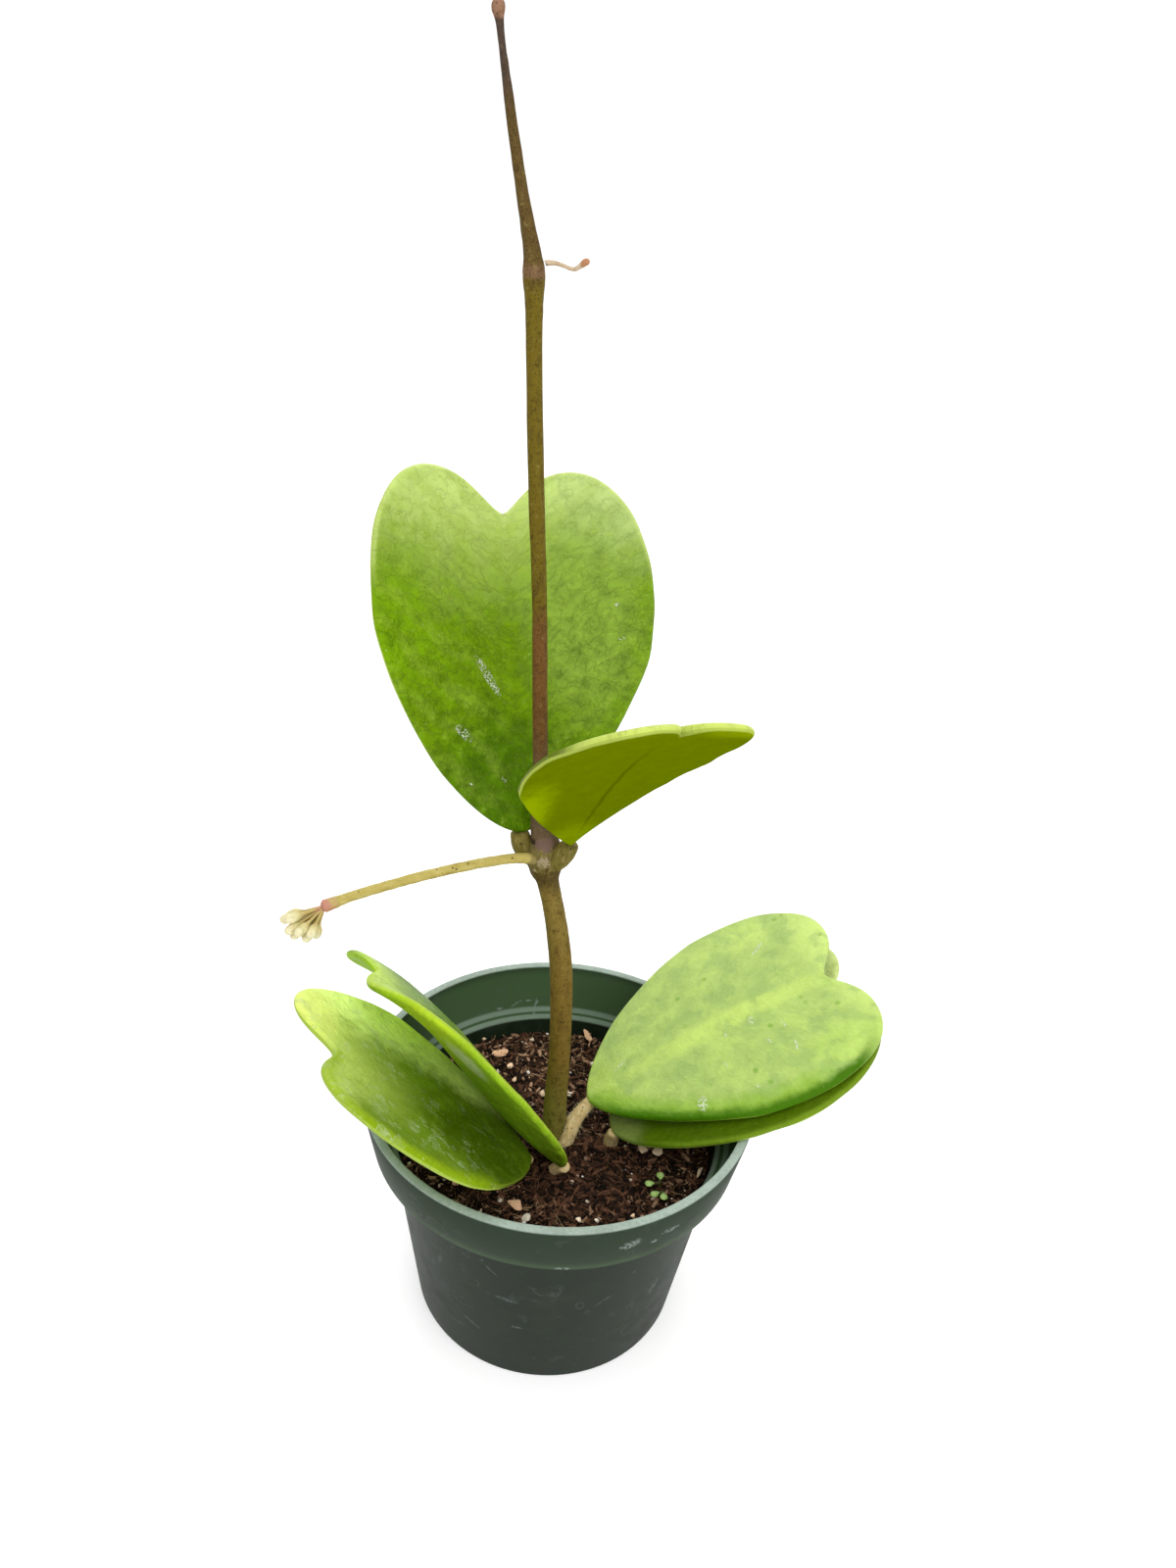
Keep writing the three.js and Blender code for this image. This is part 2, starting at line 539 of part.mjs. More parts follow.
// The flower head: a swollen neck with club-shaped buds on short stalks fanning out and down
function makeBuds() {
  const tip = new THREE.Vector3(...PEDUNCLE.at(-1).slice(0, 3));
  const before = new THREE.Vector3(...PEDUNCLE.at(-2).slice(0, 3));
  const out = tip.clone().sub(before).normalize();
  const neck = tip.clone().addScaledVector(out, GAP);
  const heart = neck.clone().addScaledVector(out, NECK.length);
  const belly = neck.clone().addScaledVector(out, NECK.step);
  const bottom = heart.clone().addScaledVector(out, NECK.step);
  const neckStations = [
    [...neck, PEDUNCLE.at(-1)[3]], [...belly, NECK.radius], [...heart, NECK.radius], [...bottom, NECK.end],
  ];
  let head = stalk(neckStations, STALK_SIDES, 1);
  const axis = out.clone().add(new THREE.Vector3(0, 0, -BUD_HANG)).normalize();
  const side = new THREE.Vector3(0, 0, 1).cross(axis).normalize();
  const up = axis.clone().cross(side);
  const golden = Math.PI * (3 - Math.sqrt(5));
  for (let i = 0; i < BUD_COUNT; i += 1) {
    const open = BUD_SPREAD * Math.sqrt((i + 0.35) / BUD_COUNT);
    const around = golden * i;
    const way = axis.clone().multiplyScalar(Math.cos(open));
    way.addScaledVector(side, Math.sin(open) * Math.cos(around));
    way.addScaledVector(up, Math.sin(open) * Math.sin(around));
    const length = BUD_LENGTH * (1 - BUD_SHORTER * ((i * 5) % 3));
    const at = (f) => heart.clone().addScaledVector(way, length * f).toArray();
    const stations = [
      [...at(0), PEDICEL_RADIUS], [...at(0.5), PEDICEL_RADIUS], [...at(0.72), BUD_RADIUS * 0.85],
      [...at(0.9), BUD_RADIUS], [...at(1), BUD_RADIUS * 0.45],
    ];
    head = head.add(stalk(stations, 6, 1));
  }
  return head;
}

const vine = stalk(VINE, VINE_SIDES, 1);
const vineRoom = stalk(VINE, VINE_SIDES, 1, GAP);
const stemsInSoil = [vineRoom];

add('pot', geometryOf(makePot()), COLOURS.pot, 0.6);
add('vine', geometryOf(vine), COLOURS.vine, 0.7);

for (const [name, leaf] of Object.entries(LEAVES)) {
  const petiole = stalk(PETIOLES[name], STALK_SIDES, 3).subtract(vineRoom);
  const petioleRoom = stalk(PETIOLES[name], STALK_SIDES, 3, GAP);
  stemsInSoil.push(petioleRoom);
  const colour = COLOURS[name] ?? COLOURS.lower;
  add(`leaf_${name}`, geometryOf(blade(leaf).subtract(petioleRoom)), colour, 0.5);
  add(`petiole_${name}`, geometryOf(petiole), COLOURS.petiole, 0.8);
}

add('peduncle', geometryOf(stalk(PEDUNCLE, STALK_SIDES, 3).subtract(vineRoom)), COLOURS.peduncle, 0.7);
add('flower_buds', geometryOf(makeBuds()), COLOURS.buds, 0.6);
add('side_shoot', geometryOf(stalk(SIDE_SHOOT, 8, 2).subtract(vineRoom)), COLOURS.shoot, 0.7);

for (const [name, seedling] of Object.entries(SEEDLINGS)) {
  add(name, geometryOf(makeSeedling(seedling)), COLOURS.seedling, 0.5);
  const [x, y] = seedling.foot;
  const room = SEEDLING_STEM_RADIUS + GAP;
  const [low, high] = [SOIL_LEVEL - SEEDLING_DEPTH - GAP, SOIL_LEVEL + SEEDLING_ROOM_HEIGHT];
  stemsInSoil.push(stalk([[x, y, low, room], [x, y, high, room]], 8, 1));
}

add('soil', geometryOf(makeSoil(stemsInSoil)), COLOURS.soil, 1);

export default hoya;
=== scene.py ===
"""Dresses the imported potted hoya: finer leaves, stems, buds, pot and potting mix round the CAD frame.

Sizes in the frame are metres. The values named below in millimetres go through MM.
"""
import math
from contextlib import contextmanager

import bpy
import numpy as np
from bpy.props import FloatProperty, FloatVectorProperty, IntProperty, PointerProperty
from mathutils import Matrix, Vector
from mathutils.bvhtree import BVHTree


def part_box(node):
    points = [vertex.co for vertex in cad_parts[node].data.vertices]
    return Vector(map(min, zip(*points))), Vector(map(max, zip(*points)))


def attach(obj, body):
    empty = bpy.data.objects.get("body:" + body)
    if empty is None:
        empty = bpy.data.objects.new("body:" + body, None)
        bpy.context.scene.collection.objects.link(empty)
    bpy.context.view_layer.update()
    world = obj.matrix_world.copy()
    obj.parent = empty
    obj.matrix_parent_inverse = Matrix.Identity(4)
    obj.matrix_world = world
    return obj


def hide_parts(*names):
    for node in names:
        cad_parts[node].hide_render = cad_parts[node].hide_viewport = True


bl_info = {
    "name": "Potted hoya",
    "version": (1, 0, 0),
    "blender": (4, 5, 0),
    "location": "3D View > Sidebar > Hoya",
    "description": "Builds a potted hoya with heart-shaped leaves round its CAD frame",
    "category": "Add Mesh",
}

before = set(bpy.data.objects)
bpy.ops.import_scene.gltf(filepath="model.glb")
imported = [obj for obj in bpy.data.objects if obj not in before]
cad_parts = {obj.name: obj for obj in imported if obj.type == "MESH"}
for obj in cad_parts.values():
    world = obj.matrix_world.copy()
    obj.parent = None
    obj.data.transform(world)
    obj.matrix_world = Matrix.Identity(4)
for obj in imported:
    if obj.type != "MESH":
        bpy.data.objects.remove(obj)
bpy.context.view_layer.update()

MM = 0.001
POT_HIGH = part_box("pot")[1]
SOIL_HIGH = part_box("soil")[1]

# Height above which the soil's solid is its uneven top
SOIL_TOP = SOIL_HIGH.z - 6 * MM

# A blade's thickness, the width of its rounded edge and its ripples (waves round the margin and their
# height) in mm, and how round its fold is
LEAF_THICKNESS = 3.0
LEAF_EDGE_ROUND = 2.2
LEAF_RIPPLES = ((5, 0.22), (9, 0.16), (14, 0.12), (23, 0.06))
FOLD_ROUND = 0.02

# A blade's outline in shares of its width and length, and its bends in shares of them too; each
# leaf names its own size, foot in mm, directions in degrees and what differs
LEAF_SHAPE = {
    "widest": 0.63, "lobe": 0.48, "notch": 0.89, "foot_out": 0.38, "foot_up": 0.02, "full_below": 0.26,
    "full_above": 0.22, "notch_out": 0.11, "notch_up": 0.03, "bend": 0, "tip_bend": 0, "fold": 0, "cup": 0,
    "skew": 0, "twist": 0, "lobe_bend": 0, "lean": 0, "uneven": 0, "fold_tip": 0, "lobe_skew": 0,
}
LEAVES = {
    "upper_back": {
        "foot": (-20, -0.5, 215.5), "azimuth": 109.9, "rise": 69.2, "roll": 4.6, "length": 125.1,
        "width": 99.5, "bend": -0.047, "cup": 0.286, "twist": -0.012, "lean": 0.013, "uneven": 0.018,
        "widest": 0.64, "lobe": 0.506, "notch": 0.88, "notch_up": 0.013,
    },
    "upper_right": {
        "foot": (-3.5, -6.3, 215.8), "azimuth": -67.9, "rise": 54.1, "roll": 11.8, "length": 112.2,
        "width": 61.4, "bend": -0.061, "tip_bend": -0.094, "fold": 0.031, "skew": -0.022, "twist": -0.275,
        "lobe_bend": -0.206, "lean": -0.094, "uneven": -0.047, "widest": 0.616, "lobe": 0.448,
        "notch": 0.908, "foot_out": 0.311, "foot_up": 0.152, "full_above": 0.2, "notch_up": 0.07,
        "full_below": 0.22,
    },
    "lower_right_top": {
        "foot": (11.9, 0.4, 93.9), "azimuth": 20.8, "rise": 32.1, "roll": 0.3, "length": 119, "width": 101.5,
        "bend": -0.148, "cup": -0.092, "twist": 0.054, "lean": 0.049, "uneven": 0.031, "widest": 0.65,
        "lobe": 0.469, "notch": 0.908, "foot_up": 0.03, "notch_out": 0.129, "notch_up": 0.012,
    },
    "lower_right_bottom": {
        "foot": (22.5, -7.1, 85.8), "azimuth": 27.2, "rise": 30.8, "roll": -8.5, "length": 115.7,
        "width": 91.9, "bend": -0.124, "cup": -0.028, "skew": 0.047, "twist": 0.03, "lean": -0.019,
        "uneven": 0.08, "widest": 0.637, "lobe": 0.465, "notch": 0.867, "foot_out": 0.486, "notch_up": 0.07,
    },
    "lower_left_outer": {
        "foot": (-8.6, -24.6, 85.1), "azimuth": 201, "rise": 46.4, "roll": -2, "length": 109.8, "width": 92.8,
        "bend": -0.068, "cup": 0.044, "twist": 0.17, "lean": 0.012, "widest": 0.65, "lobe": 0.466,
        "notch": 0.91, "foot_up": 0.066, "full_below": 0.228, "full_above": 0.2, "notch_up": -0.006,
    },
    "lower_left_inner": {
        "foot": (3.8, -23.1, 82.5), "azimuth": 174.2, "rise": 34.6, "roll": 38.6, "length": 109.4,
        "width": 76.2, "bend": 0.371, "tip_bend": -0.207, "fold": 0.484, "fold_tip": -0.716, "cup": -0.163,
        "skew": 0.067, "twist": -0.245, "lobe_bend": 0.298, "lobe_skew": 0.272, "lean": -0.009,
        "uneven": -0.067, "widest": 0.598, "lobe": 0.532, "notch": 0.945, "foot_out": 0.453,
        "foot_up": -0.024, "full_below": 0.232, "full_above": 0.264, "notch_out": 0.119, "notch_up": 0.011,
    },
}

# Share of a named colour that a surface sends back; the lights are set bright enough for it
ALBEDO = 0.8

# How each side of a blade is coloured: its body, deeper and paler mottling that is partly its own and partly
# painted shade and light of its quilting, and how strong the mottling is (quilt). Washes are laid over it in
# order, each a colour, its place and its reach across and along the blade in mm, and its cover; some washes
# and rims paint sheen, light and shade, as noted at the leaves. Rims are each a colour, the half it is on (0
# for both), where along the blade it starts and fades out, its width in mm and its cover
LEAF_LOOKS = {
    "upper_back": {
        "body": (0.16, 0.31, 0.0), "deep": (0.06, 0.17, 0.0), "pale": (0.33, 0.47, 0.05), "quilt": 1.0,
        "calm": 0.6, "veins": 0.26,
        "washes": (
            # The three pale washes at the top paint the sheen of the light above on the upper blade
            ((0.36, 0.52, 0.08), 0, 122, 95, 56, 1.0), ((0.62, 0.8, 0.22), 0, 136, 92, 44, 1.0),
            ((0.56, 0.72, 0.26), -38, 116, 30, 34, 0.7),
            ((0.27, 0.43, 0.05), -26, 74, 28, 50, 0.85), ((0.2, 0.39, 0.0), 42, 74, 18, 30, 0.8),
            ((0.09, 0.21, 0.0), 8, 18, 34, 32, 0.9),
        ),
        "rims": (((0.66, 0.8, 0.24), 0, 92, 130, 1.6, 0.6),),
    },
    "upper_right": {
        "body": (0.2, 0.32, 0.01), "deep": (0.12, 0.24, 0.0), "pale": (0.4, 0.55, 0.1), "quilt": 0.7,
        "washes": (((0.5, 0.66, 0.14), 0, 124, 70, 36, 0.9),),
        # The second rim, dark from the foot to 96 mm along, is painted shade on the upturned margin
        "rims": (((0.66, 0.78, 0.16), 0, 96, 130, 4, 0.9), ((0.14, 0.19, 0.0), 0, 0, 96, 4, 0.95)),
    },
    "lower_right_top": {
        "body": (0.46, 0.63, 0.17), "deep": (0.31, 0.48, 0.15), "pale": (0.62, 0.84, 0.2), "quilt": 0.16,
        "washes": (
            ((0.5, 0.7, 0.13), 0, 0, 26, 24, 0.8), ((0.68, 0.88, 0.24), 8, 122, 62, 22, 0.85),
            ((0.54, 0.76, 0.16), -36, 100, 16, 26, 0.7), ((0.6, 0.8, 0.2), 40, 84, 12, 34, 0.7),
            ((0.72, 0.94, 0.2), -1, 62, 7, 66, 0.55),
        ),
        # Both lower-margin rims are painted shade, darkest at the edge, where the thick rounded margin turns
        # from the light
        "rims": (((0.27, 0.5, 0.03), -1, 0, 84, 12, 0.8), ((0.06, 0.19, 0.001), -1, 4, 104, 5.2, 1.0)),
        "spots": 0.7, "cloud": 0.42, "lines": 0.35,
    },
    "lower_right_bottom": {
        # Its dark colours and rim paint the shadow that the leaf above casts on it; the pale wash by the
        # notch is the lobe tip outside that shadow
        "body": (0.095, 0.18, 0.002), "deep": (0.06, 0.13, 0.0), "pale": (0.16, 0.25, 0.01), "quilt": 0.2,
        "washes": (((0.26, 0.34, 0.08), -4, 2, 16, 14, 0.9), ((0.66, 0.8, 0.26), 10, 116, 34, 14, 1.0)),
        "rims": (((0.2, 0.33, 0.015), -1, 14, 110, 2.4, 0.8),),
    },
    "lower_left_outer": {
        "body": (0.15, 0.26, 0.008), "deep": (0.07, 0.15, 0.002), "pale": (0.3, 0.42, 0.06), "quilt": 0.28,
        "washes": (
            # The pale washes over the far end paint sheen; the two brightest, along the upper margin, paint
            # light where the inner leaf shades it; the dark one near the foot paints that leaf's shade
            ((0.34, 0.48, 0.07), -4, 98, 46, 40, 1.0), ((0.56, 0.74, 0.14), -8, 116, 54, 36, 1.0),
            ((0.055, 0.11, 0.0), 16, 36, 30, 38, 0.9), ((1.0, 1.28, 0.34), -46, 58, 36, 84, 1.0),
            ((1.0, 1.24, 0.3), -28, 26, 20, 36, 1.0),
            ((0.84, 0.98, 0.2), -28, 112, 34, 26, 0.9), ((0.74, 0.92, 0.18), 32, 116, 24, 18, 0.9),
        ),
        "rims": (((0.3, 0.46, 0.0), 1, 40, 130, 6, 0.75), ((0.3, 0.42, 0.03), 0, 0, 40, 1.4, 0.8)),
        "water": 1.0,
    },
    "lower_left_inner": {
        "body": (0.2, 0.34, 0.02), "deep": (0.1, 0.2, 0.008), "pale": (0.34, 0.5, 0.06), "quilt": 0.4,
        "washes": (
            ((0.6, 0.84, 0.14), 10, 112, 36, 26, 1.0), ((0.5, 0.72, 0.08), 30, 96, 26, 24, 1.0),
            ((0.12, 0.25, 0.008), -28, 78, 26, 30, 1.0), ((0.3, 0.48, 0.08), -34, 108, 14, 10, 0.9),
        ),
        "rims": (((0.5, 0.7, 0.05), 1, 0, 130, 2.5, 0.8), ((0.3, 0.44, 0.06), -1, 30, 100, 1.5, 0.5)),
        "lines": 0.45,
    },
}

# What the undersides that face away have in common
PLAIN_UNDER = {
    "body": (0.3, 0.46, 0.06), "deep": (0.2, 0.36, 0.03), "pale": (0.4, 0.58, 0.1), "sheen": 0.05,
    "quilt": 0.3, "washes": (), "rib": 0.4,
}
UNDER_LOOKS = {
    "upper_back": {
        **PLAIN_UNDER, "body": (0.24, 0.35, 0.05), "deep": (0.16, 0.27, 0.02), "pale": (0.34, 0.46, 0.1),
        "rims": (((0.6, 0.75, 0.2), 0, 0, 130, 3, 0.8),), "rib": 0.5,
    },
    "upper_right": {
        "body": (0.155, 0.21, 0.0), "deep": (0.135, 0.18, 0.0), "pale": (0.18, 0.24, 0.0), "sheen": 0.0,
        "quilt": 0.08, "lines": 0.08,
        "washes": (
            # The first wash, bright near the foot, paints light shining through the blade at its margin
            ((0.33, 0.44, 0.0), -27, 34, 13, 36, 0.9), ((0.25, 0.34, 0.0), -5, 8, 16, 20, 0.8),
            ((0.25, 0.33, 0.0), 14, 110, 14, 14, 0.9),
        ),
        "rims": (((0.6, 0.72, 0.14), 0, 40, 130, 0.6, 0.7),), "rib": 0.55,
    },
    "lower_right_top": {**PLAIN_UNDER, "rims": (((0.2, 0.36, 0.02), 0, 0, 130, 3, 0.6),)},
    "lower_right_bottom": {**PLAIN_UNDER, "rims": (((0.4, 0.55, 0.08), 0, 0, 130, 3, 0.6),)},
    "lower_left_outer": {
        **PLAIN_UNDER, "body": (0.3, 0.45, 0.05), "deep": (0.2, 0.34, 0.02), "pale": (0.42, 0.58, 0.1),
        "rims": (((0.5, 0.66, 0.1), 0, 0, 130, 3, 0.6),),
    },
    "lower_left_inner": {
        "body": (0.34, 0.58, 0.02), "deep": (0.24, 0.42, 0.005), "pale": (0.46, 0.68, 0.08), "sheen": 0.05,
        "quilt": 0.4,
        "washes": (
            ((0.66, 0.88, 0.04), 0, 80, 60, 30, 1.0), ((0.3, 0.5, 0.05), 16, 116, 40, 18, 0.95),
            # The last wash, pale at 27, 62, paints a wet highlight over the pale patch in UNDER_MARKS
            ((0.22, 0.36, 0.008), 10, 0, 30, 18, 0.8), ((0.8, 0.96, 0.44), 27, 62, 9, 14, 0.95),
        ),
        "rims": (),
    },
}

# Dry scars on each side of a leaf, and on the inner leaf's underside a pale rough patch that is also a
# painted
# wet highlight: x, y, half length and half width in mm, and a turn in degrees
LEAF_MARKS = {
    "upper_back": (
        (10.2, 55.5, 8.5, 1.4, 60), (20.6, 36.7, 4, 1.6, 46), (6.3, 19.1, 1.4, 0.6, 60),
        (19, 19.1, 0.7, 0.6, 0), (21.6, 115.5, 0.8, 0.8, 0), (-37, 78, 0.8, 0.8, 0), (-38, 66, 1.2, 0.7, 0),
    ),
    "lower_right_top": (
        (28.2, 91.3, 4.4, 0.9, 53), (-6.5, 72.2, 2.2, 1.1, 20), (-7.1, 60.7, 1.6, 0.6, 30),
        (-14.9, 81.9, 1.6, 0.7, 0), (-25.9, 81.3, 3, 0.6, 20), (-19.4, 73.4, 1.2, 0.8, 0),
        (-20.1, 54, 1.2, 0.6, 0), (-30.4, 38.8, 3.2, 2.2, 20), (5.5, 17.9, 3.2, 0.6, 70),
        (-34.9, 60.1, 0.8, 0.6, 0),
    ),
}
# The inner leaf's underside: a pale rough patch with a painted wet highlight laid over it
UNDER_MARKS = {"lower_left_inner": ((28, 62, 7, 2, 84), (26, 54, 4, 1.6, 70))}

# Scuffs on the pot: x, z, half length and half width in mm, a turn in degrees, and whether behind
POT_SCUFFS = (
    (29.7, 93.9, 4.2, 2.6, 20, False), (43.6, 94.2, 3.4, 1.4, 0, False), (38.2, 91.1, 1.6, 1, 0, False),
    (-22.9, 69.8, 0.9, 0.7, 0, False), (-19.5, 65.8, 4.4, 0.5, -42, False), (6.6, 83.8, 3, 0.9, 0, False),
    (-13.2, 49.7, 4.6, 1.1, -8, False), (23.3, 49.7, 4.4, 0.5, 40, False), (33.5, 62.3, 0.9, 0.6, 0, False),
    (42.5, 42.4, 5, 1.2, 70, False), (-8.9, 32.9, 2.6, 0.8, 0, False), (-39.6, 54.1, 3.4, 1, 80, False),
    (-56.3, 55, 4, 1.4, 60, False), (-26, 25, 5, 0.7, -30, False),
    (-13.8, 86.4, 4, 0.8, 80, True), (-29.6, 86.4, 1.6, 0.8, 0, True), (-22.8, 87.4, 3.4, 0.6, 30, True),
    (-17.5, 88.6, 2, 0.5, 0, True),
)

# Dabs of colour on the stems, each a colour, a place and a reach in mm: scars on the vine's swollen node, the
# flower stalk where it grows out of that node, and the orange tip of the side shoot
VINE_SCARS = (
    ((0.2, 0.12, 0.095), -11.8, -5.4, 214.5, 3.8), ((0.42, 0.33, 0.2), -11.5, -7.6, 208.5, 2.4),
    ((0.75, 0.62, 0.36), -9.3, -6.9, 210.2, 0.8), ((0.8, 0.7, 0.42), -14.1, -7.4, 205.1, 0.9),
    ((0.025, 0.015, 0.008), -11.3, -8.1, 205.6, 0.8), ((0.02, 0.012, 0.008), -15.6, -4.6, 214.6, 1.4),
    ((0.03, 0.02, 0.01), -8.4, -7, 207.4, 0.7), ((0.03, 0.02, 0.01), -7.9, -6.6, 204.8, 0.7),
)
STALK_DABS = (((0.26, 0.2, 0.07), -13.5, -6, 207.5, 5.5), ((0.1, 0.06, 0.03), -18.5, -7.5, 207, 2.2))
SHOOT_DABS = (((0.52, 0.22, 0.1), -10.8, -1.9, 400.4, 1.9),)

# Distance between the side veins of a leaf, in mm
VEIN_SPACING = 15

# Bark of the vine from the soil up: a colour, and the heights in mm between which the bark turns to it
VINE_TONES = (
    ((0.24, 0.15, 0.025), 88, 122), ((0.26, 0.18, 0.035), 150, 190), ((0.22, 0.18, 0.05), 203, 207),
    ((0.15, 0.1, 0.05), 212, 216), ((0.2, 0.09, 0.022), 232, 262), ((0.175, 0.125, 0.008), 290, 302),
    ((0.13, 0.08, 0.02), 390, 400), ((0.085, 0.055, 0.042), 430, 446),
)

# Where the vine swells between its leaf stalks: from and to in mm, and how much
NODE_SWELLING = (203, 229, 1.5)

# Middles of the seedlings' round leaves, in mm
SEEDLING_LEAVES = ((42, -22.3, 80.2), (37.5, -26.9, 80), (39.6, -32, 80), (43.2, -33.2, 80.2))

# Heights where the vine's end turns to its pinkish ball, and where the ring at its upper node starts and ends
VINE_BALL = (455.4, 456.4)
VINE_RING = (394.5, 395.5, 399.5, 397.5)

# The flower head, as in the part's source, in mm: its place and way, and its buds and its neck
HEAD_FROM = Vector((-74, -29.6, 202.4))
HEAD_TIP = Vector((-79.6, -31.8, 200.7))
BUD_COUNT = 14
BUD_LENGTH = 15.4
BUD_SPREAD = math.radians(36)
BUD_HANG = 0.58
BUD_GIRTH = 1.7
BUD_STALK_GIRTH = 0.5
BUDS_AHEAD = 3.3
NECK_LENGTH = 6.6
NECK_BACK = 2
NECK_GIRTH = 2.0

# The hairy leaf stalk, and the height above the table in mm from which it is so
HAIRY_STALK = "lower_right_top"
HAIRS_FROM = 77

# Middle and reach in mm of the soil that stays damp, in front of the stems
DAMP_AT = (14, -22)
DAMP_REACH = (26, 20)

# Bark and perlite that lie on the soil, in mm: x, y, half length, half width and a turn in degrees for bark,
# and x, y and half length for perlite
BARK = (
    (-26.3, 42.4, 4.8, 2.4, 10), (-12.6, -40.2, 3, 3.4, 60), (41.5, -8.8, 2.6, 1.9, 20),
    (35.6, -7.8, 2.8, 2, 130), (-52.1, 30.4, 3.4, 2.2, 40), (-55, -18.5, 2.8, 2.2, 75),
    (10.9, 59, 5, 1.4, 120), (22, 58.5, 2.4, 1.6, 60), (58, -16, 3.6, 1.2, 60), (-33, 10, 3.4, 1.8, 160),
    (27, 33, 3, 2, 35), (-36, -33, 2.8, 2, 100),
)
PERLITE = (
    (-8, -45.8, 2.1), (18.2, -44.5, 1.6), (31.4, -41.7, 1.5), (11.3, -45.6, 1.5), (-22.1, 34.6, 1.9),
    (-13.9, 54.5, 1.4), (-6.9, 19.3, 2), (5, 21.3, 1.8), (-35.2, 52.5, 1.3), (-19.3, 27.5, 1.4),
    (40, 20, 1.5), (-45, 3, 1.4), (14, 41, 1.6), (-27, -20, 1.5),
)

# The soft lights: name, place and size in metres, and share of the key light's power
LIGHTS = (("key", (-0.25, -0.6, 1.3), 1.3, 0.7), ("fill", (0.75, -0.85, 1.0), 1.2, 0.8),
          ("rim", (-0.1, 0.9, 1.1), 1.0, 0.6))

# The camera's sensor, lens and place in mm, and its right and up directions
CAMERA_SENSOR = 36
CAMERA_LENS = 27
CAMERA_AT = Vector((1.648, -358.85, 422.57))
CAMERA_RIGHT = Vector((0.99666, 0.0376, 0.07252))
CAMERA_UP = Vector((-0.08169, 0.45881, 0.88477))


def maths(operation, turned=False):
    """A method that puts a value and its operands through a Math node, the value last if turned."""

    def method(self, *others):
        operands = (*others, self) if turned else (self, *others)
        return self.finish.node("Math", {"operation": operation}, dict(enumerate(operands)))

    return method


class Value:
    """A socket of a finish that takes part in Python expressions."""

    def __init__(self, finish, socket):
        self.finish = finish
        self.socket = socket

    __add__ = __radd__ = maths("ADD")
    __sub__ = maths("SUBTRACT")
    __rsub__ = maths("SUBTRACT", turned=True)
    __mul__ = __rmul__ = maths("MULTIPLY")
    __truediv__ = maths("DIVIDE")
    __pow__ = maths("POWER")
    size = maths("ABSOLUTE")
    wave = maths("SINE")
    most = maths("MAXIMUM")

    def step(self, low, high):
        """0 below low, 1 above high and a smooth rise between; high below low turns it round."""
        inputs = {"Value": self, "From Min": low, "From Max": high}
        return self.finish.node("MapRange", {"interpolation_type": "SMOOTHSTEP"}, inputs)


